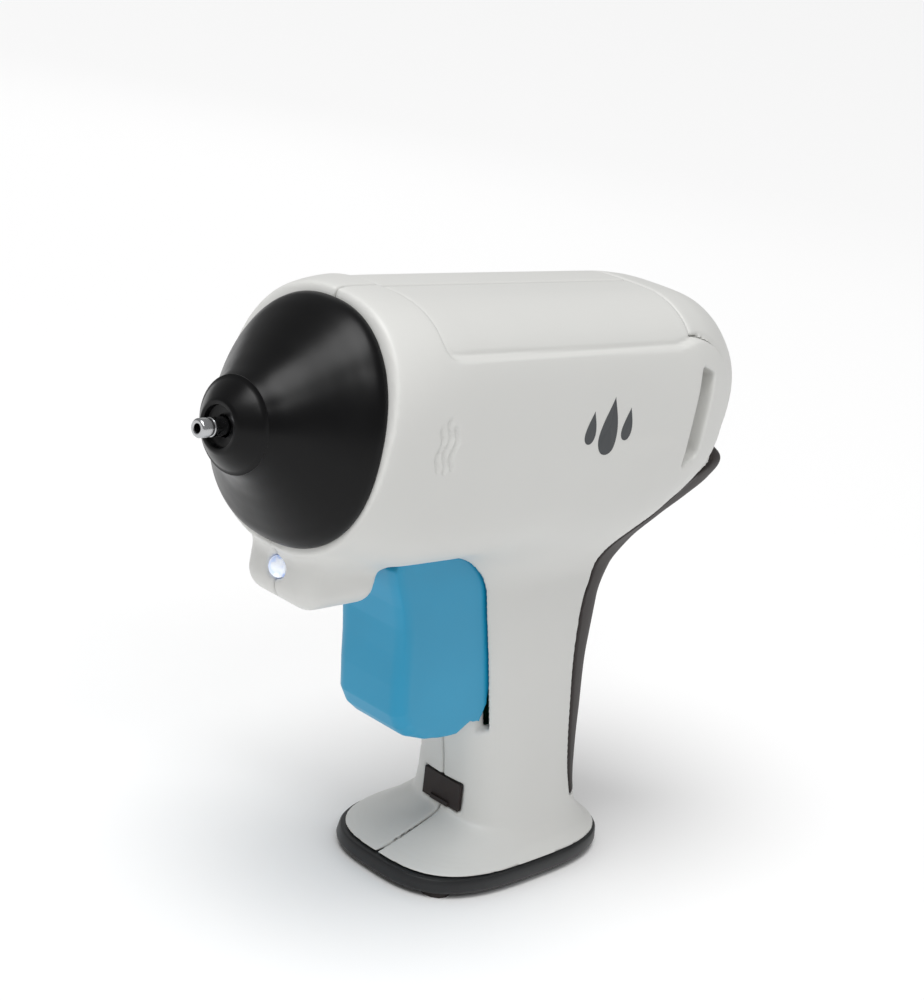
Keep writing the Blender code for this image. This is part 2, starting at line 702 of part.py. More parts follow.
def make_glue_path(steel, aluminium, phenolic, silicone):
    tip_radius = TIP_DIAMETER / 2
    bore = TIP_BORE / 2
    hex_front = CHAMBER_FRONT - 4.5
    tip = turned("nozzle_tip", [
        (-NOSE_LENGTH, bore), (-NOSE_LENGTH, tip_radius - 0.5),
        (-NOSE_LENGTH + 0.4, tip_radius), (hex_front, tip_radius), (hex_front, 5.0),
        (CHAMBER_FRONT - GAP, 5.0), (CHAMBER_FRONT - GAP, 3.4), (CHAMBER_FRONT + 5.0, 3.4),
        (CHAMBER_FRONT + 5.0, 2.2), (CHAMBER_FRONT - 6.0, bore)], 18)
    give(tip, steel)
    chamber = turned("melt_chamber", [
        (CHAMBER_FRONT, 3.4 + GAP), (CHAMBER_FRONT, CHAMBER_RADIUS - 2.0),
        (CHAMBER_FRONT + 2.5, CHAMBER_RADIUS), (CHAMBER_REAR, CHAMBER_RADIUS),
        (CHAMBER_REAR, SPIGOT_RADIUS), (SEAT_X, SPIGOT_RADIUS), (SEAT_X, BORE_RADIUS),
        (CHAMBER_FRONT + 12.0, BORE_RADIUS), (CHAMBER_FRONT + 6.0, 3.4 + GAP)])
    give(chamber, aluminium)
    for name, x in (("front_collar", FRONT_FRAME_X - 1.0), ("rear_collar", REAR_FRAME_X - 1.0)):
        outer = CHAMBER_RADIUS + COLLAR_THICKNESS
        inner = CHAMBER_RADIUS + GAP
        lip = outer + 1.5
        ring = turned(name, [
            (x - 1.5, inner), (x - 1.5, lip), (x + 1.0 - GAP, lip), (x + 1.0 - GAP, outer),
            (x + 3.0 + GAP, outer), (x + 3.0 + GAP, outer + 0.01),
            (x + 3.0 + GAP, lip), (x + 4.5, lip), (x + 4.5, inner)])
        fill_axis(ring)
        give(ring, phenolic)
    over = SPIGOT_RADIUS + GAP
    sleeve = turned("glue_sleeve", [
        (CHAMBER_REAR + 1.0, over), (CHAMBER_REAR + 1.0, over + SLEEVE_WALL - 0.3),
        (SLEEVE_REAR, over + SLEEVE_WALL - 0.3), (SLEEVE_REAR, BORE_RADIUS + 0.4),
        (SLEEVE_REAR - 2.0, BORE_RADIUS), (SEAT_X + GAP, BORE_RADIUS), (SEAT_X + GAP, over)])
    give(sleeve, silicone)
    clamp_inner = over + SLEEVE_WALL - 0.3 + 0.1
    clamp = turned("sleeve_clamp", [
        (CHAMBER_REAR + 1.6, clamp_inner), (CHAMBER_REAR + 1.6, clamp_inner + 0.6),
        (CHAMBER_REAR + 3.0, clamp_inner + 0.6), (CHAMBER_REAR + 3.0, clamp_inner)])
    give(clamp, steel)


def make_heater(ceramic, steel):
    low = -CHAMBER_RADIUS - GAP
    heater = block("heater_plate", -9.0, 0.0, -6.0, 6.0, low - 2.4, low)
    give(heater, ceramic)
    clip = block("heater_clip", -8.0, -1.0, -7.6, 7.6, low - 3.5, low + 6.0)
    cut(clip, block("clip_space", -12, 4, -6.8, 6.8, low - 2.7, low + 9))
    cut(clip, disc_rod("chamber_space", (-20, 0, 0), (8, 0, 0), CHAMBER_RADIUS + GAP, 20))
    give(clip, steel)
    sensor = disc_rod("temperature_sensor", (-7.0, 0, CHAMBER_RADIUS + GAP + 1.5),
                      (-1.0, 0, CHAMBER_RADIUS + GAP + 1.5), 1.3, 14)
    give(sensor, ceramic)


def make_carriage(plastic, steel):
    front = CARRIAGE_FRONT
    rear = front + CARRIAGE_LENGTH
    carriage = turned("feed_carriage", [
        (front, BORE_RADIUS), (front, FLANGE_RADIUS), (front + 2.0, FLANGE_RADIUS),
        (front + 2.0, CARRIAGE_RADIUS), (rear, CARRIAGE_RADIUS), (rear, BORE_RADIUS)])
    for side in (-1, 1):
        join(carriage, disc_rod("pin", (PIN_X, side * (CARRIAGE_RADIUS - 1), 0),
                                (PIN_X, side * (ARM_OUTER + 0.6), 0), PIN_RADIUS, 16))
    jaw_space = block("jaw_space", front + 8.0, front + 17.6, -2.6, 2.6, BORE_RADIUS - 3,
                      CARRIAGE_RADIUS + 6)
    for side in (-1, 1):
        join(carriage, block("lug", front + 8.5, front + 15.5, side * 3.9 - 1.1,
                             side * 3.9 + 1.1, BORE_RADIUS + 1.2, CARRIAGE_RADIUS + 4.2))
    cut(carriage, jaw_space)
    jaw_z = CARRIAGE_RADIUS + 2.0
    cut(carriage, disc_rod("pin_way", (front + 12, -9, jaw_z), (front + 12, 9, jaw_z),
                           JAW_PIN_RADIUS + RUNNING, 14))
    give(carriage, plastic)
    x = front + 12.0
    outline = [(x - 2.0, jaw_z - 1.6), (x - 1.4, jaw_z + 1.6), (x + 1.4, jaw_z + 2.0),
               (x + 2.4, jaw_z), (x + 3.9, BORE_RADIUS + 1.4), (x + 3.4, STICK_RADIUS + 0.45),
               (x + 2.5, BORE_RADIUS + 0.5), (x + 2.0, STICK_RADIUS + 0.45),
               (x + 1.0, BORE_RADIUS + 0.6)]
    jaw = prism("gripper_jaw", outline, -2.2, 2.2)
    cut(jaw, disc_rod("jaw_way", (x, -9, jaw_z), (x, 9, jaw_z), JAW_PIN_RADIUS + RUNNING, 14))
    give(jaw, steel)
    give(disc_rod("gripper_pin", (x, -5.4, jaw_z), (x, 5.4, jaw_z), JAW_PIN_RADIUS, 14), steel)


def make_spring(steel):
    # Compression spring between its seat plate and the carriage flange
    start = SEAT_X + GAP + SPRING_WIRE / 2
    end = CARRIAGE_FRONT - GAP - SPRING_WIRE / 2
    radius = SPIGOT_RADIUS + SLEEVE_WALL + 1.9 + SPRING_WIRE / 2
    steps = SPRING_TURNS * 12
    rings = []
    for k in range(steps + 1):
        t = k / steps
        angle = 2 * math.pi * SPRING_TURNS * t
        out = Vector((0, math.cos(angle), math.sin(angle)))
        centre = Vector((start + (end - start) * t, 0, 0)) + out * radius
        ring = []
        for i in range(5):
            a = 2 * math.pi * i / 5
            ring.append(centre + SPRING_WIRE / 2 * (math.cos(a) * out
                                                    + math.sin(a) * Vector((1, 0, 0))))
        rings.append(ring)
    give(loft("return_spring", rings), steel)


def make_trigger(mat, steel):
    edge = [swung(dx, dz, 0.0) for dx, dz in BLADE_REAR]
    front = [(44.0, -79.5), (39.5, -74.0), (37.6, -66.0), (36.6, -58.0), (35.4, -51.0),
             (33.2, -45.0), (30.4, -39.6), (28.2, -34.4), (30.0, -31.0)]
    top = -PIVOT_DROP + 4.2
    outline = [(PIVOT_X - 5.0, top), (PIVOT_X + 4.0, top), (PIVOT_X + 5.0, -30.0)]
    outline += edge + [swung(*BLADE_HEEL, 0.0), (58.0, -82.5), (50.0, -82.5)] + front
    blade = prism("trigger", outline, -TRIGGER_HALF, TRIGGER_HALF)
    hollow = [(38.6, -36.0), (62.0, -36.0), (78.0, -60.0), (78.0, -74.0), (60.0, -79.0),
              (46.5, -79.0), (42.4, -72.5), (40.4, -65.5), (39.4, -58.0), (38.2, -50.5)]
    inside = TRIGGER_HALF - TRIGGER_WALL
    cut(blade, prism("trigger_hollow", hollow, -inside, inside))
    lean = math.tan(HALF_SQUEEZE)
    for side in (-1, 1):
        arm = [(PIVOT_X - 4.0, -PIVOT_DROP - 4.2), (PIVOT_X + 4.0, -PIVOT_DROP - 4.2),
               (PIVOT_X + (PIVOT_DROP + 4.5) * lean + 3.6, 4.5),
               (PIVOT_X + (PIVOT_DROP + 4.5) * lean - 3.6, 4.5)]
        inner = side * ARM_INNER
        outer = side * ARM_OUTER
        plate = prism("arm", arm, min(inner, outer), max(inner, outer))
        slot = block("slot", -PIN_RADIUS - 0.25, PIN_RADIUS + 0.25, min(inner, outer) - 1,
                     max(inner, outer) + 1, PIVOT_DROP - 2.4, PIVOT_DROP + 12)
        slot.data.transform(Matrix.Translation(Vector((PIVOT_X, 0, -PIVOT_DROP)) * MM)
                            @ Matrix.Rotation(HALF_SQUEEZE, 4, "Y"))
        cut(plate, slot)
        bridge = [(PIVOT_X + dx, -PIVOT_DROP + dz)
                  for dx, dz in ((-3.7, -3.9), (3.7, -3.9), (3.7, 3.9), (-3.7, 3.9))]
        join(blade, prism("bridge", bridge, min(side * (TRIGGER_HALF - 1), outer - side * 0.5),
                          max(side * (TRIGGER_HALF - 1), outer - side * 0.5)))
        join(blade, plate)
    cut(blade, disc_rod("pin_way", (PIVOT_X, -40, -PIVOT_DROP), (PIVOT_X, 40, -PIVOT_DROP),
                        PIN_RADIUS + RUNNING, 14))
    give(blade, mat)
    give(disc_rod("trigger_pin", (PIVOT_X, -PIN_LENGTH / 2, -PIVOT_DROP),
                  (PIVOT_X, PIN_LENGTH / 2, -PIVOT_DROP), PIN_RADIUS, 14), steel)


def cell_frame():
    x, z = CELL_BOTTOM
    return Matrix.Translation(Vector((x, 0, z)) * MM) @ Matrix.Rotation(
        math.radians(-CELL_LEAN), 4, "Y")


def make_battery(wrap, steel, plastic):
    radius = CELL_DIAMETER / 2
    cell = turned("battery_cell", [
        (0.0, 0.01), (0.0, radius - 0.8), (0.8, radius), (CELL_LENGTH - 2.0, radius),
        (CELL_LENGTH - 1.2, radius - 0.8), (CELL_LENGTH - 1.2, 3.0), (CELL_LENGTH, 3.0),
        (CELL_LENGTH, 0.01)], 20, "Z")
    fill_axis(cell)
    cell.data.transform(cell_frame())
    give(cell, wrap)
    for name, low in (("contact_bottom", -GAP - 0.6), ("contact_top", CELL_LENGTH + GAP)):
        plate = block(name, -5, 5, -5, 5, low, low + 0.6)
        plate.data.transform(cell_frame())
        give(plate, steel)
    cradle = turned("cell_cradle", [
        (8.0, radius + GAP), (8.0, radius + 1.3), (CELL_LENGTH - 8.0, radius + 1.3),
        (CELL_LENGTH - 8.0, radius + GAP)], 20, "Z")
    cut(cradle, block("cradle_mouth", -30, 1.0, -30, 30, -5, 100))
    cradle.data.transform(cell_frame())
    give(cradle, plastic)


def make_lamp(clear, board):
    front = 1.4
    dome = [(front - 1.9 + 1.9 * (1 - math.cos(a)), LAMP_RADIUS * math.sin(a))
            for a in [math.radians(d) for d in (15, 35, 60, 90)]]
    lamp = turned("led_lamp", [(front - 1.9, 0.01)] + dome + [
        (front + 5.0, LAMP_RADIUS), (front + 5.0, LAMP_RADIUS + 0.5),
        (front + 6.0, LAMP_RADIUS + 0.5), (front + 6.0, 0.01)], 20)
    fill_axis(lamp)
    lamp.location = Vector((0, 0, -LAMP_DROP)) * MM
    give(lamp, clear)
    panel = block("led_board", front + 6.3, front + 7.9, -5.5, 5.5, -LAMP_DROP - 5.0,
                  -LAMP_DROP + 7.0)
    give(panel, board)


def make_electronics(board, dark, plastic, clear):
    inner = ARM_OUTER + 1.6
    give(block("main_board", 60.0, 98.0, inner, inner + 1.6, -10.0, 15.0), board)
    face = inner + 1.6 + 0.2
    switch = block("push_switch", BUTTON_X - 3, BUTTON_X + 3, face, face + 2.4, BUTTON_Z - 3,
                   BUTTON_Z + 3)
    give(switch, dark)
    chip = block("control_chip", 62.5, 68.5, face, face + 1.2, -6, 0)
    give(chip, dark)
    skin = side_width(BUTTON_X, BUTTON_Z)
    button = turned("power_button", [
        (face + 2.4 + 1.0, 0.01), (face + 2.4 + 1.0, BUTTON_RADIUS - 1.5),
        (skin - WALL - 0.6, BUTTON_RADIUS - 1.5), (skin - WALL - 0.6, BUTTON_RADIUS),
        (skin - 0.8, BUTTON_RADIUS), (skin - 0.1, BUTTON_RADIUS - 0.7),
        (skin - 0.1, 0.01)], 20, "Y")
    fill_axis(button)
    button.location = Vector((BUTTON_X, 0, BUTTON_Z)) * MM
    give(button, plastic)
    pipe = disc_rod("charge_light", (BUTTON_X + 14, face + 0.3, BUTTON_Z),
                    (BUTTON_X + 14, side_width(BUTTON_X + 14, BUTTON_Z), BUTTON_Z), 1.5, 14)
    give(pipe, clear)


def make_inlet(plastic):
    rear = BODY_LENGTH
    guide = turned("stick_guide", [
        (REAR_SEAM - 8.0, BORE_RADIUS), (REAR_SEAM - 8.0, GUIDE_RADIUS),
        (rear - 2.0, GUIDE_RADIUS), (rear - 2.0, BORE_RADIUS)])
    give(guide, plastic)
    ring = turned("inlet_ring", [
        (rear - 1.6, BORE_RADIUS), (rear - 1.6, GUIDE_RADIUS), (rear + GAP, GUIDE_RADIUS),
        (rear + GAP, GUIDE_RADIUS + 1.4), (rear + 1.0, GUIDE_RADIUS + 1.4),
        (rear + 1.6, GUIDE_RADIUS + 0.6), (rear + 1.6, BORE_RADIUS + 0.8)])
    give(ring, plastic)


def base_ring(count, level, share, grow):
    _, x0, x1, half, power = HANDLE_SECTIONS[-1]
    ring = oval(count, (half + grow) * share, ((x1 - x0) / 2 + grow) * share,
                ((x1 - x0) / 2 + grow) * share, power)
    return [((x0 + x1) / 2 - x, y, level) for y, x in ring]


def make_base(plastic, rubber):
    top = HANDLE_FOOT - GAP
    bottom = top - BASE_THICKNESS
    count = 24
    plate = loft("base_plate", [base_ring(count, top, 1.0, 0.6),
                                base_ring(count, bottom + 1.0, 1.0, 0.9),
                                base_ring(count, bottom, 1.0, 0.0)])
    _, x0, x1, half, _ = HANDLE_SECTIONS[-1]
    middle = (x0 + x1) / 2
    reach = (x1 - x0) / 2 - 9.0
    spots = [(middle + sx * reach, sy * (half - 9.0)) for sx in (-1, 1) for sy in (-1, 1)]
    for number, (x, y) in enumerate(spots, 1):
        seat = bottom + PAD_THICKNESS - PAD_PROUD
        cut(plate, disc_rod("pad_seat", (x, y, bottom - 5), (x, y, seat + GAP), 4.0 + GAP, 12))
        give(disc_rod("foot_pad_%d" % number, (x, y, bottom - PAD_PROUD), (x, y, seat), 4.0, 12),
             rubber)
    give(plate, plastic)


def make_wires(red, black):
    # Heater leads from the chamber back to the board, each a round bent tube
    drop = -CHAMBER_RADIUS - 5.2
    for name, y, mat in (("heater_wire_live", 3.0, red), ("heater_wire_return", -3.0, black)):
        points = [(-3.0, y, drop), (8.0, y, -20.0), (30.0, y * 0.8, -22.5)]
        give(tube(name, points, 0.7), mat)
    points = [(10.2, 2.0, -LAMP_DROP + 2.0), (14.0, 4.0, -29.0), (30.0, 6.0, -25.0)]
    give(tube("lamp_wire", points, 0.5), red)


def tube(name, points, radius, sides=6):
    # Smooth bent round wire through a list of points
    path = []
    steps = 4
    for i in range(len(points) - 1):
        p0 = Vector(points[max(i - 1, 0)])
        p1 = Vector(points[i])
        p2 = Vector(points[i + 1])
        p3 = Vector(points[min(i + 2, len(points) - 1)])
        for k in range(steps + (1 if i == len(points) - 2 else 0)):
            t = k / steps
            path.append(0.5 * ((2 * p1) + (p2 - p0) * t + (2 * p0 - 5 * p1 + 4 * p2 - p3) * t * t
                               + (3 * p1 - 3 * p2 + p3 - p0) * t * t * t))
    rings = []
    for i, centre in enumerate(path):
        ahead = (path[min(i + 1, len(path) - 1)] - path[max(i - 1, 0)]).normalized()
        side = ahead.cross(Vector((0, 1, 0))).normalized()
        lift = ahead.cross(side)
        ring = []
        for k in range(sides):
            a = 2 * math.pi * k / sides
            ring.append(centre + radius * (math.cos(a) * side + math.sin(a) * lift))
        rings.append(ring)
    return loft(name, rings)


def finish():
    # Root empty lifts the barrel frame so the foot pads stand on z = 0
    root = bpy.data.objects.new("glue_gun", None)
    bpy.context.scene.collection.objects.link(root)
    solids = [obj for obj in bpy.context.scene.collection.objects if obj.type == "MESH"]
    reach = [vert.co.x + obj.location.x for obj in solids for vert in obj.data.vertices]
    root.location = Vector((-(min(reach) + max(reach)) / 2, 0, AXIS_HEIGHT * MM))
    for obj in solids:
        obj.parent = root
        obj.data.shade_smooth()
        obj.data.set_sharp_from_angle(angle=math.radians(32))


def build():
    for obj in list(bpy.data.objects):
        bpy.data.objects.remove(obj)
    white = material("white ABS", (0.80, 0.80, 0.78), 0.42)
    black = material("black nylon", (0.012, 0.012, 0.012), 0.36)
    blue = material("blue ABS", (0.022, 0.33, 0.53), 0.45)
    rubber = material("dark rubber", (0.018, 0.012, 0.010), 0.75)
    steel = material("bright steel", (0.62, 0.61, 0.60), 0.28, 1.0)
    aluminium = material("aluminium", (0.75, 0.75, 0.76), 0.4, 1.0)
    phenolic = material("phenolic", (0.10, 0.045, 0.02), 0.6)
    silicone = material("silicone", (0.55, 0.10, 0.06), 0.55)
    ceramic = material("ceramic", (0.82, 0.80, 0.74), 0.5)
    acetal = material("grey acetal", (0.25, 0.26, 0.27), 0.45)
    board = material("circuit board", (0.02, 0.16, 0.07), 0.5)
    wrap = material("cell wrap", (0.05, 0.22, 0.12), 0.4)
    clear = material("clear lens", (0.85, 0.92, 1.0), 0.08)
    red = material("red insulation", (0.55, 0.02, 0.02), 0.5)
    for shell in make_shells():
        give(shell, white)
    make_rear_cap(white)
    make_grip(rubber)
    make_shroud(black)
    make_glue_path(steel, aluminium, phenolic, silicone)
    make_heater(ceramic, steel)
    make_carriage(acetal, steel)
    make_spring(steel)
    make_trigger(blue, steel)
    make_battery(wrap, steel, acetal)
    make_lamp(clear, board)
    make_electronics(board, black, acetal, clear)
    make_inlet(black)
    make_port(steel, rubber, board)
    make_base(black, rubber)
    make_wires(red, black)
    make_screws(steel)
    finish()


build()
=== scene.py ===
import json
import math

import bmesh
import bpy
import numpy as np
import openvdb
from mathutils import Matrix, Vector

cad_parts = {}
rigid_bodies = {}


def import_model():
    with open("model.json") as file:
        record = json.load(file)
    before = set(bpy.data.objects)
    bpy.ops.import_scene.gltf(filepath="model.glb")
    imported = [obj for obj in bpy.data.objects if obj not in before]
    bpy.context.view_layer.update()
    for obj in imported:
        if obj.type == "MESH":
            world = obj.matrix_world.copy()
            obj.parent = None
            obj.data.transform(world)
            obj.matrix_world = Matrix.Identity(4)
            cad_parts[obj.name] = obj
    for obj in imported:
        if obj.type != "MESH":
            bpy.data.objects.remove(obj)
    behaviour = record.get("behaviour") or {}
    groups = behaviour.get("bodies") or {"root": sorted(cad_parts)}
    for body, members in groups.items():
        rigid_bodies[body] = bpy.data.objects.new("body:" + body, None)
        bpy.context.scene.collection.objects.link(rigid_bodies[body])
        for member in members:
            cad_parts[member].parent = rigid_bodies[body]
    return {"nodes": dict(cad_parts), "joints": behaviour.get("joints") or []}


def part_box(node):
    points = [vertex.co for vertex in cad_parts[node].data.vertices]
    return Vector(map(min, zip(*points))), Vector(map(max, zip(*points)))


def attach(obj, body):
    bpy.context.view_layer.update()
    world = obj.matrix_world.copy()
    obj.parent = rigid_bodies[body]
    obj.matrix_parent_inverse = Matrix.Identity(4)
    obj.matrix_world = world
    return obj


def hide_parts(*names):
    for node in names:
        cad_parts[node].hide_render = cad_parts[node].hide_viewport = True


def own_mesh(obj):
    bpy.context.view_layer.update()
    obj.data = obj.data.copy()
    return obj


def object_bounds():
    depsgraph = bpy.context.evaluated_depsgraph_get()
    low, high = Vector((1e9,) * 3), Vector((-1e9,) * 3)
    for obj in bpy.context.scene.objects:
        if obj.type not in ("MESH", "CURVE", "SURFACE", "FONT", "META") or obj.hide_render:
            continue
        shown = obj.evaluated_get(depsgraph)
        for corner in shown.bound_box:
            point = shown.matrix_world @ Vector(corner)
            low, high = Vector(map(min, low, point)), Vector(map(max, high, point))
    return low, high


# Looks for the cordless glue gun. Lengths are millimetres about the barrel's axis:
# +X to the rear, the gun's left side is -Y, origin at the front of the body.
for spare in list(bpy.data.objects):
    bpy.data.objects.remove(spare)
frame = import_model()
cadLow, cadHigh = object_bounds()
nodes = frame["nodes"]

noseLength = 29.4
chamberLow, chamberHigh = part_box("melt_chamber")
origin = Vector((cadLow[0] + noseLength / 1000, 0, (chamberLow[2] + chamberHigh[2]) / 2))
voxel = 0.56


def place(x, y, z):
    return origin + Vector((x, y, z)) / 1000


def boxOf(name):
    # A CAD node's lowest and highest corner in millimetres about the barrel
    low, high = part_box(name)
    return (low - origin) * 1000, (high - origin) * 1000


def smoothCurve(points, at):
    # Smooth curve through (position, value) points without overshoot
    knots = np.array([p[0] for p in points], float)
    values = np.array([p[1] for p in points], float)
    steps = np.diff(knots)
    rises = np.diff(values) / steps
    slopes = np.concatenate([rises[:1], rises[:-1], rises[-1:]])[:len(knots)]
    for i in range(1, len(knots) - 1):
        a, b = rises[i - 1], rises[i]
        slopes[i] = 0.0 if a * b <= 0 else 2 * a * b / (a + b)
    slopes[-1] = rises[-1]
    i = np.clip(np.searchsorted(knots, at) - 1, 0, len(knots) - 2)
    t = np.clip((at - knots[i]) / steps[i], 0, 1)
    return (values[i] * (1 + 2 * t) * (1 - t) ** 2 + steps[i] * slopes[i] * t * (1 - t) ** 2
            + values[i + 1] * t * t * (3 - 2 * t)
            - steps[i] * slopes[i + 1] * t * t * (1 - t))


def softMin(a, b, k):
    h = np.clip(0.5 + 0.5 * (b - a) / k, 0, 1)
    return b * (1 - h) + a * h - k * h * (1 - h)


def softMax(a, b, k):
    return -softMin(-a, -b, k)


def roundMax(a, b, radius):
    # Overlap of two fields with a true radius along the edge between them
    return (np.hypot(np.maximum(a + radius, 0), np.maximum(b + radius, 0))
            + np.minimum(np.maximum(a, b) + radius, 0) - radius)


def step(low, high, at):
    t = np.clip((at - low) / (high - low), 0, 1)
    return t * t * (3 - 2 * t)


def evened(field, spacing):
    # Field divided by its own slope, so that it reads as distance near the surface
    gx, gy, gz = np.gradient(field, spacing)
    return field / np.clip(np.sqrt(gx * gx + gy * gy + gz * gz), 0.35, 4.0)


def grid(low, high, spacing):
    axes = [np.arange(a, b + spacing / 2, spacing) for a, b in zip(low, high)]
    return np.meshgrid(*axes, indexing="ij", sparse=True)


def polygonField(points, x, z):
    # Signed distance to a closed side-view outline, negative inside
    best = np.full(np.broadcast(x, z).shape, 1e9)
    inside = np.zeros(best.shape, bool)
    for (x0, z0), (x1, z1) in zip(points, points[1:] + points[:1]):
        dx, dz = x1 - x0, z1 - z0
        t = np.clip(((x - x0) * dx + (z - z0) * dz) / (dx * dx + dz * dz), 0, 1)
        best = np.minimum(best, np.hypot(x - x0 - dx * t, z - z0 - dz * t))
        if dz:
            inside ^= ((z0 > z) != (z1 > z)) & (x < dx * (z - z0) / dz + x0)
    return np.where(inside, -best, best)


def meshPiece(name, points, faces, body, mat, smooth=True):
    # Closed mesh from millimetre points, riding on a CAD body
    mesh = bpy.data.meshes.new(name)
    flat = (np.asarray(points, float) / 1000 + np.array(origin)).tolist()
    mesh.from_pydata(flat, [], faces if isinstance(faces, list) else faces.tolist())
    work = bmesh.new()
    work.from_mesh(mesh)
    if work.calc_volume(signed=True) < 0:
        bmesh.ops.reverse_faces(work, faces=work.faces)
    work.to_mesh(mesh)
    work.free()
    if smooth:
        mesh.shade_smooth()
    mesh.materials.append(mat)
    piece = bpy.data.objects.new(name, mesh)
    bpy.context.scene.collection.objects.link(piece)
    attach(piece, body)
    return piece


def fieldPiece(name, field, low, spacing, body, mat, mirror=False):
    # Surface of a sampled field as a piece
    volume = openvdb.FloatGrid(background=3.0)
    volume.copyFromArray(np.ascontiguousarray(field.astype(np.float32)))
    points, faces = volume.convertToQuads(isovalue=0.0)
    points = points * spacing + np.array(low)
    if mirror:
        points[:, 1] *= -1
    piece = meshPiece(name, points, faces, body, mat)
    work = bmesh.new()
    work.from_mesh(piece.data)
    crumbs = looseCrumbs(work, 60)
    bmesh.ops.delete(work, geom=crumbs, context="VERTS")
    work.to_mesh(piece.data)
    work.free()
    evenNormals = piece.modifiers.new("even normals", "WEIGHTED_NORMAL")
    evenNormals.keep_sharp = True
    print("  ", name, len(piece.data.polygons), "faces")
    return piece


def looseCrumbs(work, fewest):
    # Vertices of stray islands smaller than a real part of the piece
    seen, crumbs = set(), []
    for start in work.verts:
        if start in seen:
            continue
        island, queue = [], [start]
        seen.add(start)
        while queue:
            vert = queue.pop()
            island.append(vert)
            for edge in vert.link_edges:
                other = edge.other_vert(vert)
                if other not in seen:
                    seen.add(other)
                    queue.append(other)
        if len(island) < fewest:
            crumbs += island
    return crumbs


def ringPiece(name, rings, body, mat, closed=False):
    # Rings of points joined in order, capped at both ends or closed on themselves
    count = len(rings[0])
    points = [p for ring in rings for p in ring]
    faces = []
    last = len(rings) if closed else len(rings) - 1
    for k in range(last):
        m = (k + 1) % len(rings)
        for i in range(count):
            j = (i + 1) % count
            faces.append([k * count + i, k * count + j, m * count + j, m * count + i])
    if not closed:
        faces.append(list(range(count))[::-1])
        faces.append([(len(rings) - 1) * count + i for i in range(count)])
    return meshPiece(name, points, faces, body, mat)


def turnedPiece(name, profile, centre, body, mat, axis="X", segments=72):
    # Turned solid from a closed (position, radius) profile about an axis
    rings = []
    for k in range(segments):
        a = 2 * math.pi * k / segments
        c, s = math.cos(a), math.sin(a)
        ring = []
        for p, r in profile:
            spot = {"X": (p, r * c, r * s), "Y": (r * s, p, r * c)}[axis]
            ring.append(tuple(a0 + b0 for a0, b0 in zip(centre, spot)))
        rings.append(ring)
    piece = ringPiece(name, rings, body, mat, closed=True)
    work = bmesh.new()
    work.from_mesh(piece.data)
    bmesh.ops.remove_doubles(work, verts=work.verts, dist=2e-6)
    bmesh.ops.delete(work, geom=[e for e in work.edges if not e.link_faces], context="EDGES")
    bmesh.ops.recalc_face_normals(work, faces=work.faces)
    work.to_mesh(piece.data)
    work.free()
    piece.data.set_sharp_from_angle(angle=math.radians(40))
    return piece


def carve(piece, name, work):
    # Cut the shape held in a bmesh out of a piece
    cutterMesh = bpy.data.meshes.new(name)
    work.to_mesh(cutterMesh)
    work.free()
    cutter = bpy.data.objects.new(name, cutterMesh)
    bpy.context.scene.collection.objects.link(cutter)
    recess = piece.modifiers.new(name, "BOOLEAN")
    recess.operation, recess.object, recess.solver = "DIFFERENCE", cutter, "EXACT"
    bpy.context.view_layer.update()
    graph = bpy.context.evaluated_depsgraph_get()
    cutMesh = bpy.data.meshes.new_from_object(piece.evaluated_get(graph))
    piece.modifiers.clear()
    piece.data = cutMesh
    bpy.data.objects.remove(cutter)


def toLinear(code):
    # sRGB hex to linear colour
    parts = [int(code[i:i + 2], 16) / 255 for i in (0, 2, 4)]
    return tuple(p / 12.92 if p <= 0.04045 else ((p + 0.055) / 1.055) ** 2.4
                 for p in parts) + (1.0,)


def addNode(tree, kind, settings=None, links=None):
    # One node with its settings; links name an input and the socket that feeds it
    node = tree.nodes.new(kind)
    for key, value in (settings or {}).items():
        if key in node.inputs:
            node.inputs[key].default_value = value
        else:
            setattr(node, key, value)
    for key, source in (links or {}).items():
        tree.links.new(source, node.inputs[key])
    return node


def newMaterial(name, code, roughness, metallic=0.0, ior=None):
    mat = bpy.data.materials.new(name)
    mat.use_nodes = True
    tree = mat.node_tree
    shader = tree.nodes["Principled BSDF"]
    shader.inputs["Base Color"].default_value = toLinear(code)
    shader.inputs["Roughness"].default_value = roughness
    shader.inputs["Metallic"].default_value = metallic
    if ior:
        shader.inputs["IOR"].default_value = ior
    return mat, tree, shader


def perMm(size):
    # Texture scale that gives a feature of this many millimetres
    return 1000.0 / size


def grained(name, code, tint, roughness, grain, depth, ior=1.5, spread=0.05, metallic=0.0):
    # Moulded or cast surface: fine grain in the height, broad faint drift in colour and gloss
    mat, tree, shader = newMaterial(name, code, roughness, metallic, ior)
    where = addNode(tree, "ShaderNodeTexCoord").outputs["Object"]
    fine = addNode(tree, "ShaderNodeTexNoise", {"Scale": perMm(grain), "Detail": 3.0},
                   {"Vector": where})
    broad = addNode(tree, "ShaderNodeTexNoise", {"Scale": perMm(38.0), "Detail": 2.0},
                    {"Vector": where})
    colours = addNode(tree, "ShaderNodeMix", {"data_type": "RGBA"}, {"Factor": broad.outputs[0]})
    # RGBA sockets of the mix node share their names with the number ones
    colours.inputs[6].default_value = toLinear(code)
    colours.inputs[7].default_value = toLinear(tint)
    tree.links.new(colours.outputs[2], shader.inputs["Base Color"])
    gloss = addNode(tree, "ShaderNodeMapRange", {"To Min": roughness - spread,
                                                 "To Max": roughness + spread},
                    {"Value": broad.outputs[0]})
    tree.links.new(gloss.outputs[0], shader.inputs["Roughness"])
    bump = addNode(tree, "ShaderNodeBump", {"Strength": 0.35, "Distance": depth / 1000},
                   {"Height": fine.outputs[0]})
    tree.links.new(bump.outputs[0], shader.inputs["Normal"])
    return mat


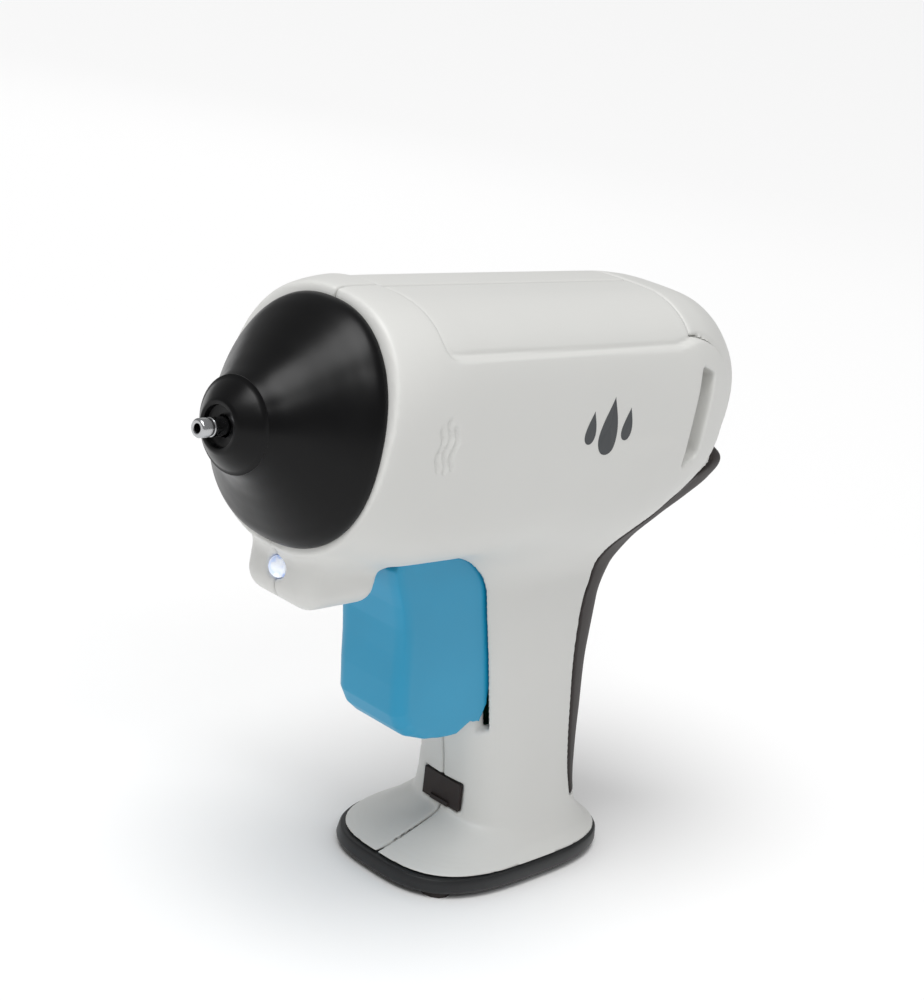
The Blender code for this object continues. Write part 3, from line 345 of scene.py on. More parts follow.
def ringed(name, code, roughness, spacing, depth, metallic, ior=None):
    # Surface with fine rings about the barrel, as left by turning or by the mould's polish
    mat, tree, shader = newMaterial(name, code, roughness, metallic, ior)
    where = addNode(tree, "ShaderNodeTexCoord").outputs["Object"]
    rings = addNode(tree, "ShaderNodeTexWave", {"wave_type": "BANDS", "bands_direction": "X",
                                                "Scale": perMm(spacing) / 20.0,
                                                "Distortion": 1.2, "Detail": 2.0,
                                                "Detail Scale": 1.5}, {"Vector": where})
    blotch = addNode(tree, "ShaderNodeTexNoise", {"Scale": perMm(6.0), "Detail": 4.0},
                     {"Vector": where})
    gloss = addNode(tree, "ShaderNodeMapRange", {"To Min": roughness - 0.05,
                                                 "To Max": roughness + 0.09},
                    {"Value": blotch.outputs[0]})
    tree.links.new(gloss.outputs[0], shader.inputs["Roughness"])
    bump = addNode(tree, "ShaderNodeBump", {"Strength": 0.3, "Distance": depth / 1000},
                   {"Height": rings.outputs["Fac"]})
    tree.links.new(bump.outputs[0], shader.inputs["Normal"])
    return mat


print("materials")
# White ABS, moulded against a lightly sparked tool: bright, soft sheen, barely visible grain
whiteAbs = grained("abs white moulded", "DADAD7", "D5D5D2", 0.42, 0.7, 0.02)
# Glass-filled nylon, satin from the polished cone of the mould: broad streaked highlights
blackNylon = ringed("nylon black satin", "050506", 0.30, 0.9, 0.010, 0.0, ior=1.30)
# Blue ABS, moulded and self-coloured: saturated body with a soft sheen
blueAbs = grained("abs blue moulded", "129DC8", "0F90BA", 0.40, 0.6, 0.02)
# Soft thermoplastic rubber, overmoulded: dark brown-black, matt, with a leathery grain
softRubber = grained("rubber grip overmoulded", "2A211F", "231C1B", 0.62, 0.9, 0.09)
# Plated steel, turned: mirror-like with fine lathe rings
turnedSteel = ringed("steel turned bright", "B9BABC", 0.20, 0.5, 0.006, 1.0)
# Zinc-plated steel pressings and screws: cool grey with a soft shine
platedSteel = grained("steel zinc plated", "B4B6BA", "A5A7AC", 0.32, 0.5, 0.004,
                      metallic=1.0, ior=None)
# Die-cast aluminium: pale grey, coarse and dull
castAluminium = grained("aluminium die cast", "C6C7C9", "B4B5B8", 0.46, 0.8, 0.03,
                        metallic=1.0, ior=None)
# Phenolic moulding: dark brown, half matt
phenolic = grained("phenolic moulded brown", "4A2A18", "3A2012", 0.55, 0.5, 0.02)
# Silicone rubber tube: brick red, smooth and soft
silicone = grained("silicone rubber red oxide", "B4452F", "A23B28", 0.5, 0.7, 0.02)
# Fired alumina: off-white and matt
ceramic = grained("alumina fired", "EBE7DA", "E2DCCB", 0.5, 0.4, 0.01)
# Acetal moulding: mid grey, waxy
acetal = grained("acetal grey moulded", "7B7E80", "707375", 0.42, 0.5, 0.01)
# Glass-epoxy board under solder mask: deep green, half gloss
circuitBoard = grained("fr4 solder mask green", "1F6B3A", "195A30", 0.38, 0.9, 0.02)
# Heat-shrink sleeve on the cell: glossy green
cellWrap = grained("pvc heat shrink green", "2F7A55", "276B49", 0.3, 3.0, 0.03)
# Wire insulation, red and black: half gloss
redPvc = grained("pvc insulation red", "B02318", "9C1E15", 0.42, 0.8, 0.01)
blackPvc = grained("pvc insulation black", "1B1B1C", "151516", 0.42, 0.8, 0.01)
# Black ABS, moulded: half gloss
blackAbs = grained("abs black moulded", "1C1D1F", "17181A", 0.42, 0.6, 0.03)
# Pad-printed ink: flat dark grey, slightly duller than the plastic under it
ink = grained("ink pad printed", "3E4144", "373A3D", 0.5, 0.3, 0.004)
# Clear epoxy lens of a white lamp, lit from inside
litLens, lensTree, lensShader = newMaterial("epoxy lens lit", "E8F1FF", 0.08, ior=1.54)
lensWhere = addNode(lensTree, "ShaderNodeTexCoord").outputs["Object"]
lensGlow = addNode(lensTree, "ShaderNodeTexNoise", {"Scale": perMm(1.6), "Detail": 1.0},
                   {"Vector": lensWhere})
lensRamp = addNode(lensTree, "ShaderNodeValToRGB", None, {"Fac": lensGlow.outputs[0]})
lensRamp.color_ramp.elements[0].position = 0.42
lensRamp.color_ramp.elements[0].color = toLinear("8FB2FF")
lensRamp.color_ramp.elements[1].position = 0.58
lensRamp.color_ramp.elements[1].color = toLinear("FFFFFF")
lensTree.links.new(lensRamp.outputs[0], lensShader.inputs["Emission Color"])
lensShader.inputs["Emission Strength"].default_value = 0.32
# Polycarbonate light pipe: clear grey and glossy
clearLens = grained("polycarbonate light pipe", "C9D4D6", "BCC8CB", 0.12, 1.0, 0.01, 1.58)

finishes = {
    "white_abs": whiteAbs, "black_nylon": blackNylon, "blue_abs": blueAbs,
    "dark_rubber": softRubber, "bright_steel": platedSteel, "aluminium": castAluminium,
    "phenolic": phenolic, "silicone": silicone, "ceramic_white": ceramic,
    "grey_acetal": acetal, "circuit_board": circuitBoard, "cell_wrap": cellWrap,
    "clear_lens": clearLens, "red_insulation": redPvc, "black_insulation": blackPvc,
}
nodeFinish = {
    "melt_chamber": "aluminium", "front_collar": "phenolic", "rear_collar": "phenolic",
    "glue_sleeve": "silicone", "heater_plate": "ceramic_white",
    "temperature_sensor": "ceramic_white", "feed_carriage": "grey_acetal",
    "cell_cradle": "grey_acetal", "battery_cell": "cell_wrap", "main_board": "circuit_board",
    "port_board": "circuit_board", "led_board": "circuit_board",
    "control_chip": "black_insulation", "push_switch": "black_insulation",
    "heater_wire_live": "red_insulation", "lamp_wire": "red_insulation",
    "heater_wire_return": "black_insulation", "charge_light": "clear_lens",
    "stick_guide": "black_nylon", "foot_pad_1": "dark_rubber", "foot_pad_2": "dark_rubber",
    "foot_pad_3": "dark_rubber", "foot_pad_4": "dark_rubber", "usb_cover": "dark_rubber",
}
for name, node in nodes.items():
    node.data.materials.clear()
    node.data.materials.append(finishes[nodeFinish.get(name, "bright_steel")])

form = {
    "halfWidth": 27.0, "crown": 29.4, "belly": 33.5, "rear": 145.5, "rake": 0.105,
    "rakeEnd": 14.0, "wall": 2.4, "sideWall": 3.2, "blend": 11.0, "chinBlend": 4.0,
}
seam = {
    "gap": 0.3, "rear": 105.64, "ribX": 105.1, "ribZ": -3.0, "ribRadius": 24.0,
    "crossLine": 15.6, "stepSide": 1.25, "stepCrown": 0.36, "ledgeDrop": 2.2,
}
widest, crown = form["halfWidth"], form["crown"]
belly, rearEnd = form["belly"], form["rear"]
# Each row: place along the barrel, half width, top, bottom, squareness
bodyRows = [
    (0.0, widest - 1.2, crown - 0.8, 28.6, 2.3), (3.0, widest - 0.7, crown - 0.3, 29.3, 2.4),
    (8.0, widest - 0.3, crown - 0.05, belly - 2.8, 2.6),
    (14.0, widest - 0.1, crown, belly - 1.5, 2.85), (24.0, widest, crown, belly - 0.5, 3.1),
    (60.0, widest, crown, belly, 3.2), (105.5, widest - 0.2, crown, belly - 1.5, 3.2),
    (rearEnd - 32.0, widest - 0.6, crown - 0.4, belly - 3.5, 3.0),
    (rearEnd - 24.0, widest - 2.0, crown - 1.8, belly - 6.5, 2.8),
    (rearEnd - 16.0, widest - 4.6, crown - 4.8, belly - 9.5, 2.6),
    (rearEnd - 9.0, widest - 8.1, crown - 9.2, belly - 13.0, 2.4),
    (rearEnd - 4.5, widest - 11.5, crown - 13.4, belly - 16.0, 2.3),
    (rearEnd - 1.0, widest - 15.3, crown - 17.4, belly - 19.5, 2.2),
    (rearEnd, widest - 17.0, crown - 19.4, belly - 23.0, 2.0),
]
foot = boxOf("base_plate")[1][2] + 0.3
# Each row: height, front, rear, half width, squareness
handleRows = [
    (-12.0, 46.0, rearEnd - 1.5, 20.5, 3.4), (-16.0, 46.0, rearEnd + 3.6, 21.0, 3.6),
    (-20.0, 46.5, rearEnd + 2.0, 20.3, 3.3), (-25.0, 47.0, rearEnd - 3.5, 19.0, 2.9),
    (-30.0, 48.0, rearEnd - 11.0, 17.6, 2.6), (-36.0, 50.0, rearEnd - 21.5, 16.4, 2.5),
    (-43.0, 53.0, rearEnd - 29.0, 15.6, 2.5), (-52.0, 57.0, rearEnd - 32.0, 15.3, 2.6),
    (-65.0, 62.5, rearEnd - 32.0, 15.2, 2.7), (-85.0, 70.0, rearEnd - 29.5, 15.3, 2.8),
    (foot + 18.0, 75.0, rearEnd - 27.0, 15.8, 2.8), (foot + 8.0, 76.5, rearEnd - 24.5, 17.2, 2.8),
    (foot + 3.0, 65.0, rearEnd - 20.5, 20.0, 2.9), (foot, 54.0, rearEnd - 16.0, 23.5, 3.0),
]
# Each row: height, front edge of the grip
gripEdge = [
    (foot, rearEnd - 30.0), (foot + 10.0, rearEnd - 33.0), (foot + 20.0, rearEnd - 37.0),
    (-86.0, rearEnd - 40.5), (-72.0, rearEnd - 44.0), (-60.0, rearEnd - 46.5),
    (-50.0, rearEnd - 47.5), (-44.0, rearEnd - 46.8), (-39.0, rearEnd - 47.2),
    (-34.0, rearEnd - 46.0), (-29.5, rearEnd - 43.2), (-25.5, rearEnd - 38.4),
    (-22.0, rearEnd - 31.8), (-17.5, rearEnd - 20.0), (-13.0, rearEnd - 9.5), (0.0, rearEnd - 9.5),
]


def column(rows, index, at):
    return smoothCurve([(row[0], row[index]) for row in sorted(rows)], at)


def rakeAt(x):
    return form["rake"] * np.clip(1 - x / form["rakeEnd"], 0, 1)


def bodyField(x, y, z):
    along = x - rakeAt(x) * z
    half = column(bodyRows, 1, along)
    tall = np.where(z > 0, column(bodyRows, 2, along), column(bodyRows, 3, along))
    power = column(bodyRows, 4, along)
    u = np.abs(y) / half
    v = np.abs(z) / tall
    ratio = (u ** power + v ** power) ** (1 / power) + 1e-4
    ball = np.sqrt(y * y + z * z) + 0.02
    return softMax((ratio - 1) / ratio * ball, x - form["rear"], 2.0)


def handleField(x, y, z):
    front, rear = column(handleRows, 1, z), column(handleRows, 2, z)
    half, power = column(handleRows, 3, z), column(handleRows, 4, z)
    across = x - (front + rear) / 2
    ratio = ((np.abs(across) / (rear - front) * 2) ** power
             + (np.abs(y) / half) ** power) ** (1 / power) + 1e-4
    side = (ratio - 1) / ratio * (np.hypot(across, y) + 0.02)
    return softMax(softMax(side, z + 12.4, 1.2), foot - z, 0.8)


def chinField(x, y, z):
    radius = 5.6
    sides = [np.abs(x - 12.6) - (12.0 - radius), np.abs(y) - (11.4 - radius),
             np.abs(z + 20.0) - (22.4 - radius)]
    out = np.sqrt(sum(np.maximum(s, 0) ** 2 for s in sides))
    return out + np.minimum(np.maximum(np.maximum(*sides[:2]), sides[2]), 0) - radius


def proudField(x, z):
    # Negative where the flank stands proud: below the ledge, inside the rib's arc, or the nose
    lean = z - 0.0056 * (seam["ribX"] - x) * (x < seam["ribX"])
    rib = np.hypot(np.maximum(x - seam["ribX"], 0),
                   np.maximum(lean - seam["ribZ"], 0)) - seam["ribRadius"]
    ledge = rib + seam["ledgeDrop"] * (1 - step(98.0, 112.0, x))
    return rib, softMin(ledge, x - seam["crossLine"], 4.0)


def outerField(x, y, z):
    blend = form["blend"] * (1 - step(96.0, 124.0, x)) + 1.2
    whole = softMin(bodyField(x, y, z), handleField(x, y, z), blend)
    whole = softMin(whole, chinField(x, y, z), form["chinBlend"])
    whole = evened(whole, voxel)
    rib, proud = proudField(x, z)
    amount = seam["stepSide"] - seam["stepCrown"]
    amount = seam["stepCrown"] + amount * step(7.0, 20.0, np.abs(y))
    amount = amount * (1 - 0.8 * step(130.0, 143.0, x)) * step(-15.0, -11.0, z)
    groove = 0.3 * np.exp(-((proud - 0.75) / 0.45) ** 2) * step(-15.0, -11.0, z)
    return whole + amount * step(-0.1, 0.65, proud) + groove


def cylinder(a, b, radius):
    return np.hypot(a, b) - radius


# Rear edge of the trigger blade from its top down, measured from the trigger's pivot
pivot = [(a + e) / 2 for a, e in zip(*boxOf("trigger_pin"))]
squeeze = math.radians([j for j in frame["joints"] if j["name"] == "trigger_hinge"][0]
                       ["range_deg"][1])
bladeRear = [(8.5, -14.5), (12.0, -19.5), (15.5, -26.5), (18.5, -34.5), (21.1, -42.7),
             (21.6, -52.5)]
bladeHeel = (20.6, -56.5)


def swung(dx, dz, share):
    # Point given from the pivot, turned by a share of the full squeeze
    angle = squeeze * share
    return (pivot[0] + dx * math.cos(angle) - dz * math.sin(angle),
            pivot[2] + dz * math.cos(angle) + dx * math.sin(angle))


def full(half):
    # Left half of a field with its mirror image, as one
    return np.concatenate([half, half[:, -2::-1, :]], axis=1)


print("outer form")
gridLow = (-5.0, -voxel * round(29.0 / voxel), foot - 2.5)
halfHigh = (rearEnd + 8.0, 0.0, crown + 3.0)
x, y, z = grid(gridLow, halfHigh, voxel)
outer = outerField(x, y, z)
rib, proud = proudField(x, z)
capArea = np.maximum(seam["rear"] - x, -rib)
edgeX = smoothCurve(gripEdge, z)
edgeSlope = np.gradient(edgeX[0, 0, :], voxel).reshape(1, 1, -1)
gripArea = np.maximum((edgeX - x) / np.sqrt(1 + edgeSlope ** 2), z + 12.9)
gripArea = np.maximum(gripArea, foot + 10.0 - z)
frontPlane = (0.15 + form["rake"] * z - x) / math.hypot(1, form["rake"])
halfGap = seam["gap"] / 2
gripThick = 2.2

print("rear cap")
cavity = outer + form["wall"]
cap = np.maximum(outer, -cavity)
cap = softMax(cap, capArea + halfGap, 0.5)
# Inner lip that runs under the body shells and backs the seam
capLip = np.maximum(np.maximum(outer + 2.3, -(outer + 3.5)), np.maximum(capArea - 1.6, -4 - z))
cap = np.minimum(cap, capLip)
cap = np.maximum(cap, -(gripArea - 0.35))
inletRadius = boxOf("stick_guide")[1][1] + 0.3
cap = softMax(cap, -np.maximum(cylinder(y, z, inletRadius), 130.0 - x), 0.6)
startX = int((100.0 - gridLow[0]) / voxel)
cropLow = (gridLow[0] + startX * voxel, gridLow[1], gridLow[2])
capPiece = fieldPiece("rear_cap_shell", full(cap[startX:]), cropLow, voxel, "housing", whiteAbs)
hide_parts("rear_cap")

print("grip")
grip = np.maximum(outer - 0.15, -(outer + gripThick))
grip = softMax(grip, gripArea, 0.7)
startX = int((88.0 - gridLow[0]) / voxel)
cropLow = (gridLow[0] + startX * voxel, gridLow[1], gridLow[2])
gripPiece = fieldPiece("grip_overmould", full(grip[startX:]), cropLow, voxel, "housing",
                       softRubber)
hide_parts("grip")

print("body shells")
slotShape = {"front": 109.4, "rear": 115.6, "top": 14.4, "bottom": -11.8, "depth": 8.0,
             "round": 1.4, "wall": 1.6}


def slotField(grow):
    # Upright finger slot in side view, a little shorter at its rear
    along = (x - slotShape["front"]) / (slotShape["rear"] - slotShape["front"])
    top = slotShape["top"] - 2.0 * along
    bottom = slotShape["bottom"] + 2.4 * along
    wide = np.maximum(slotShape["front"] - x, x - slotShape["rear"])
    tall = np.maximum(z - top, bottom - z)
    return roundMax(wide, tall, slotShape["round"]) - grow


thick = form["wall"] + (form["sideWall"] - form["wall"]) * step(-30.0, -42.0, z)
thick = np.maximum(thick, (gripThick + 1.9) * step(2.0, -1.0, gripArea))
lipThick = 3.4 * step(7.0, 5.0, x - form["rake"] * z)
thick = np.maximum(thick, lipThick)
shell = softMax(outer, frontPlane, 0.7)
shell = np.maximum(shell, -(outer + thick))
slotWall = np.maximum(np.maximum(slotField(slotShape["wall"]), outer),
                      -(outer + slotShape["depth"] + slotShape["wall"]))
shell = np.minimum(shell, slotWall)
shell = softMax(shell, -(capArea - halfGap), 0.5)
shell = softMax(shell, -np.maximum(gripArea - 0.3, -(outer + gripThick + 0.3)), 0.4)
shell = softMax(shell, -np.maximum(slotField(0.0), -(outer + slotShape["depth"])), 0.9)
wellShape = {"half": 11.5, "play": 1.3, "room": 4.6, "roomInner": 9.2, "roomTop": -30.0}
well = [(26.0, -26.0), (pivot[0] + 6.0, -26.0)]
well += [swung(a + wellShape["play"], h + 0.8, 1.0) for a, h in bladeRear]
well += [swung(bladeHeel[0] + 1.2, bladeHeel[1] - 1.4, share) for share in (1.0, 0.5, 0.0)]
well += [(pivot[0] + 17.5, -84.0), (50.0, -84.0), (26.0, -70.0)]
wellSide = polygonField(well, x[:, :, 0], z[0, 0, :])[:, None, :]
wellField = np.maximum(wellSide, np.abs(y) - wellShape["half"])
# The skirts' own room beside the cell, behind the wall
skirtRoom = np.maximum(np.abs(y) - wellShape["half"], wellShape["roomInner"] - np.abs(y))
skirtRoom = np.maximum(wellSide - wellShape["room"], skirtRoom)
skirtRoom = np.maximum(skirtRoom, z - wellShape["roomTop"])
wellField = np.minimum(wellField, skirtRoom)
shell = softMax(shell, -wellField, 0.8)
holes = {"lamp": 2.75, "lampDepth": 9.0, "button": 6.3, "light": 1.75}
lampLow, lampHigh = boxOf("led_lamp")
lampZ = (lampLow[2] + lampHigh[2]) / 2
lampHole = np.maximum(cylinder(y, z - lampZ, holes["lamp"]), x - holes["lampDepth"])
shell = softMax(shell, -lampHole, 0.5)
coverLow, coverHigh = boxOf("usb_cover")
# Cover and hole: half height, half width, depth
port = {"x": 75.75, "lean": 8.0, "cover": (4.3, 6.6, 1.7), "hole": (2.1, 4.9, 6.0)}
portX, portZ = port["x"], (coverLow[2] + coverHigh[2]) / 2
portLean = math.radians(port["lean"])
portA = (x - portX) * math.cos(portLean) + (z - portZ) * math.sin(portLean)
portB = (z - portZ) * math.cos(portLean) - (x - portX) * math.sin(portLean)
pocket, portHole = [np.maximum(np.maximum(np.abs(portB) - tall, np.abs(y) - wide),
                               np.maximum(portA - deep, -6 - portA))
                    for tall, wide, deep in (port["cover"], port["hole"])]
shell = softMax(shell, -np.minimum(pocket, portHole), 0.5)
shell = np.maximum(shell, y + halfGap)

# Three wavy grooves low on the nose, a plain warning of heat
waves = {"x": 17.4, "spacing": 2.2, "low": -4.2, "high": 7.0, "sway": 0.6, "pitch": 0.95,
         "half": 0.62, "deep": 0.62}
left = shell.copy()
for k in (-1, 0, 1):
    reach = 1.0 - 0.22 * abs(k)
    middle = (waves["low"] + waves["high"]) / 2 - 0.6 * abs(k)
    half = (waves["high"] - waves["low"]) / 2 * reach
    line = waves["x"] + k * waves["spacing"]
    line = line + waves["sway"] * np.sin((z - middle) * waves["pitch"])
    away = np.hypot(x - line, np.maximum(np.abs(z - middle) - half, 0))
    grooved = np.exp(-(away / waves["half"]) ** 4) * (outer > -1.2) * (y < -10)
    left = left + waves["deep"] * grooved
leftPiece = fieldPiece("left_body_shell", left, gridLow, voxel, "housing", whiteAbs)
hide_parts("left_shell")

screwWell = {"radius": 3.0, "seat": 1.8, "tube": 4.2, "tubeEnd": 3.6}
right = shell
for k in range(1, 7):
    low, high = boxOf("screw_%d" % k)
    a, h = (low[0] + high[0]) / 2, (low[2] + high[2]) / 2
    inward = -y
    wellHere = np.maximum(cylinder(x - a, z - h, screwWell["radius"]),
                          high[1] - screwWell["seat"] - inward)
    tube = np.maximum(cylinder(x - a, z - h, screwWell["tube"]),
                      np.maximum(outer, high[1] - screwWell["tubeEnd"] - inward))
    right = np.minimum(right, tube)
    right = softMax(right, -wellHere, 0.5)
buttonLow, buttonHigh = boxOf("power_button")
buttonX, buttonZ = (buttonLow[0] + buttonHigh[0]) / 2, (buttonLow[2] + buttonHigh[2]) / 2
right = softMax(right, -np.maximum(cylinder(x - buttonX, z - buttonZ, holes["button"]),
                                   y + 15), 0.6)
lightLow, lightHigh = boxOf("charge_light")
lightX = (lightLow[0] + lightHigh[0]) / 2
right = softMax(right, -np.maximum(cylinder(x - lightX, z - buttonZ, holes["light"]),
                                   y + 15), 0.3)
rightPiece = fieldPiece("right_body_shell", right, gridLow, voxel, "housing", whiteAbs,
                        mirror=True)
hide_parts("right_shell")

print("trigger")
bladeStep = 0.42
blade = {"half": 11.0, "edge": 3.6, "armInner": 12.8, "armOuter": 15.0}
bladeFront = [(46.0, -80.6), (42.5, -78.0), (39.7, -74.0), (37.9, -66.0), (36.7, -58.0),
              (35.3, -51.0), (33.1, -45.0), (30.2, -39.6), (28.0, -35.2), (28.6, -32.4),
              (31.0, -29.6), (36.0, -25.0)]
bladeOutline = [(pivot[0] - 5.0, -19.4), (pivot[0] + 4.0, -19.4), (pivot[0] + 5.0, -30.0)]
bladeOutline += [swung(a, h, 0.0) for a, h in bladeRear + [bladeHeel]]
bladeOutline += [(63.0, -82.4), (52.0, -82.4)]
bladeOutline += bladeFront
bladeLow = (25.0, -bladeStep * round(17.0 / bladeStep), -85.0)
bx, by, bz = grid(bladeLow, (76.0, 0.0, 7.0), bladeStep)
flatX, flatZ = bx[:, :, 0], bz[0, 0, :]
bladeSide = evened(np.repeat(polygonField(bladeOutline, flatX, flatZ)[:, None, :], 3, 1),
                   bladeStep)[:, 1:2, :]
flank = np.abs(by) - blade["half"]
toFront = step(0.0, 14.0, bx - pivot[0] + 0.55 * (bz + 82.0))
bladeBody = roundMax(bladeSide, flank, blade["edge"]) * (1 - toFront) \
    + roundMax(bladeSide, flank, 0.6) * toFront
# Two skirts carry the blade's sides back inside the handle, so no gap shows behind it
skirtRear = [(pivot[0] + 5.0, -31.5)] + [swung(a, h, 0.0) for a, h in bladeRear]
skirtShape = {"overlap": 3.0, "reach": 4.0, "middle": 10.3, "half": 0.7}
skirt = [(px - skirtShape["overlap"], pz) for px, pz in skirtRear]
skirt += [(64.5, -79.4), (70.8, -80.4)]
skirt += [(px + skirtShape["reach"], pz) for px, pz in reversed(skirtRear)]
skirtField = np.maximum(polygonField(skirt, flatX, flatZ)[:, None, :],
                        np.abs(np.abs(by) - skirtShape["middle"]) - skirtShape["half"])
lean = math.tan(math.radians(10.0))
topShift = (4.5 - pivot[2]) * lean
arm = [(pivot[0] - 4.0, pivot[2] - 4.2), (pivot[0] + 4.0, pivot[2] - 4.2),
       (pivot[0] + topShift + 3.6, 4.5), (pivot[0] + topShift - 3.6, 4.5)]
armMiddle = (blade["armInner"] + blade["armOuter"]) / 2
armField = np.maximum(polygonField(arm, flatX, flatZ)[:, None, :],
                      np.abs(np.abs(by) - armMiddle) - (blade["armOuter"] - armMiddle))
turn = math.radians(10.0)
slotA = (bx - pivot[0]) * math.cos(turn) - (bz - pivot[2]) * math.sin(turn)
slotB = (bx - pivot[0]) * math.sin(turn) + (bz - pivot[2]) * math.cos(turn)
armField = np.maximum(armField, -np.maximum(np.abs(slotA) - 1.9, 21.0 - slotB))
bridge = np.maximum(np.maximum(np.abs(bx - pivot[0]) - 3.7, np.abs(bz - pivot[2]) - 3.9),
                    np.abs(by) - blade["armOuter"] + 0.5)
trigger = np.minimum(np.minimum(bladeBody, armField), np.minimum(bridge, skirtField))
trigger = np.maximum(trigger, -cylinder(bx - pivot[0], bz - pivot[2], 1.7))
triggerPiece = fieldPiece("trigger_blade", full(trigger), bladeLow, bladeStep, "trigger", blueAbs)
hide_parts("trigger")

print("nozzle")
cone = {"half": 24.5, "tall": 27.2, "power": 2.26, "egg": 0.07, "collarX": -19.2,
        "collarRadius": 10.3, "faceX": -23.8, "faceRadius": 5.1, "wall": 2.0, "count": 144}


def coneRing(px, share, circle, inset=0.0):
    # Oval ring that eases into a circle toward the collar
    points = []
    for i in range(cone["count"]):
        a = 2 * math.pi * (i + 0.5) / cone["count"]
        ca, sa = math.cos(a), math.sin(a)
        oy = cone["half"] * math.copysign(abs(ca) ** (2 / cone["power"]), ca)
        oz = cone["tall"] * math.copysign(abs(sa) ** (2 / cone["power"]), sa)
        oy *= 1 - cone["egg"] * oz / cone["tall"]
        py = oy * (1 - circle) + cone["half"] * ca * circle
        pz = oz * (1 - circle) + cone["half"] * sa * circle
        length = math.hypot(py, pz)
        scale = max(share * length - inset, 0.4) / length
        py, pz = py * scale, pz * scale
        points.append((px + form["rake"] * (1 - circle) * pz, py, pz))
    return points


coneShares = [(0.0, 1.0), (1.5, 0.99), (3.5, 0.945), (6.0, 0.855), (9.0, 0.735), (12.5, 0.60),
              (16.0, 0.49), (19.2, cone["collarRadius"] / cone["half"])]
coneCircles = [(0.0, 0.0), (1.5, 0.05), (3.5, 0.12), (6.0, 0.25), (9.0, 0.42), (12.5, 0.65),
               (16.0, 0.85), (19.2, 1.0)]
rings = []
for back in np.linspace(-0.1, -cone["collarX"], 46):
    # The collar stands as a slight step on the cone, with a fine edge
    share = float(smoothCurve(coneShares, np.array(max(back, 0.0))))
    circle = float(smoothCurve(coneCircles, np.array(max(back, 0.0))))
    lip = 0.3 * max(0.0, 1 - (back + 0.1) / 0.7)
    rings.append(coneRing(-back, share, circle, lip))
collarShare, faceShare = cone["collarRadius"] / cone["half"], cone["faceRadius"] / cone["half"]
rings.append(coneRing(cone["collarX"] - 0.04, collarShare * 1.018, 1.0))
rings.append(coneRing(cone["collarX"] - 0.25, collarShare * 1.018, 1.0))
for t in np.linspace(0.1, 1.0, 9):
    # Collar's flank, nearly straight, down to a flat front face
    px = cone["collarX"] + (cone["faceX"] - cone["collarX"]) * t
    bulge = collarShare + (faceShare * 1.06 - collarShare) * (0.72 * t + 0.28 * t * t)
    rings.append(coneRing(px, bulge, 1.0))
bore = 2.35 / cone["half"]
rings.append(coneRing(cone["faceX"], faceShare * 1.03, 1.0))
rings.append(coneRing(cone["faceX"], faceShare * 0.93, 1.0))
rings.append(coneRing(cone["faceX"] + 0.1, faceShare * 0.90, 1.0))
rings.append(coneRing(cone["faceX"] + 1.3, faceShare * 0.86, 1.0))
rings.append(coneRing(cone["faceX"] + 1.4, faceShare * 0.80, 1.0))
rings.append(coneRing(cone["faceX"] + 1.4, bore * 1.1, 1.0))
rings.append(coneRing(cone["faceX"] + 1.6, bore, 1.0))
rings.append(coneRing(cone["collarX"] - 1.5, bore, 1.0))
rings.append(coneRing(cone["collarX"] + 0.6, collarShare, 1.0, cone["wall"]))
for back in np.linspace(-cone["collarX"] - 1.0, 0.2, 18):
    share = float(smoothCurve(coneShares, np.array(back)))
    circle = float(smoothCurve(coneCircles, np.array(back)))
    rings.append(coneRing(-back, share, circle, cone["wall"] + 0.4))
rings.append(coneRing(7.3, 0.92, 0.0, cone["wall"]))
rings.append(coneRing(7.3, 0.92, 0.0, 0.6))
rings.append(coneRing(0.6, 0.93, 0.0, 0.4))
rings.append(coneRing(0.5, 0.975, 0.0, 0.0))
shroudPiece = ringPiece("nozzle_cone", rings, "housing", blackNylon, closed=True)
shroudPiece.data.set_sharp_from_angle(angle=math.radians(42))
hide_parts("nozzle_shroud")

tip = {"front": -noseLength, "radius": 2.05, "bore": 1.05}
tipProfile = [
    (tip["front"] + 0.1, tip["bore"]), (tip["front"], tip["bore"] + 0.15),
    (tip["front"], tip["radius"] - 0.42), (tip["front"] + 0.12, tip["radius"] - 0.2),
    (tip["front"] + 0.45, tip["radius"]), (tip["front"] + 2.6, tip["radius"]),
    (tip["front"] + 2.75, tip["radius"] - 0.16), (tip["front"] + 3.3, tip["radius"] - 0.16),
    (tip["front"] + 3.45, tip["radius"]), (-17.5, tip["radius"]), (-17.5, 4.9), (-13.3, 4.9),
    (-13.3, 3.4), (-8.0, 3.4), (-8.0, 2.2), (-19.0, tip["bore"]),
]
tipPiece = turnedPiece("nozzle_tube", tipProfile, (0, 0, 0), "housing", turnedSteel)
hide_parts("nozzle_tip")

print("lamp")
lampRadius = 2.5
front = lampLow[0] + 1.9
dome = [(front - 1.9 + 1.9 * (1 - math.cos(a)), lampRadius * math.sin(a))
        for a in [math.radians(8 + 82 * k / 11) for k in range(12)]]
lensPiece = turnedPiece("lamp_lens", [(front - 1.9, 0.001)] + dome + [
    (front + 4.6, lampRadius), (front + 4.6, lampRadius + 0.5), (lampHigh[0], lampRadius + 0.5),
    (lampHigh[0], 0.001)], (0, 0, lampZ), "housing", litLens)
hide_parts("led_lamp")

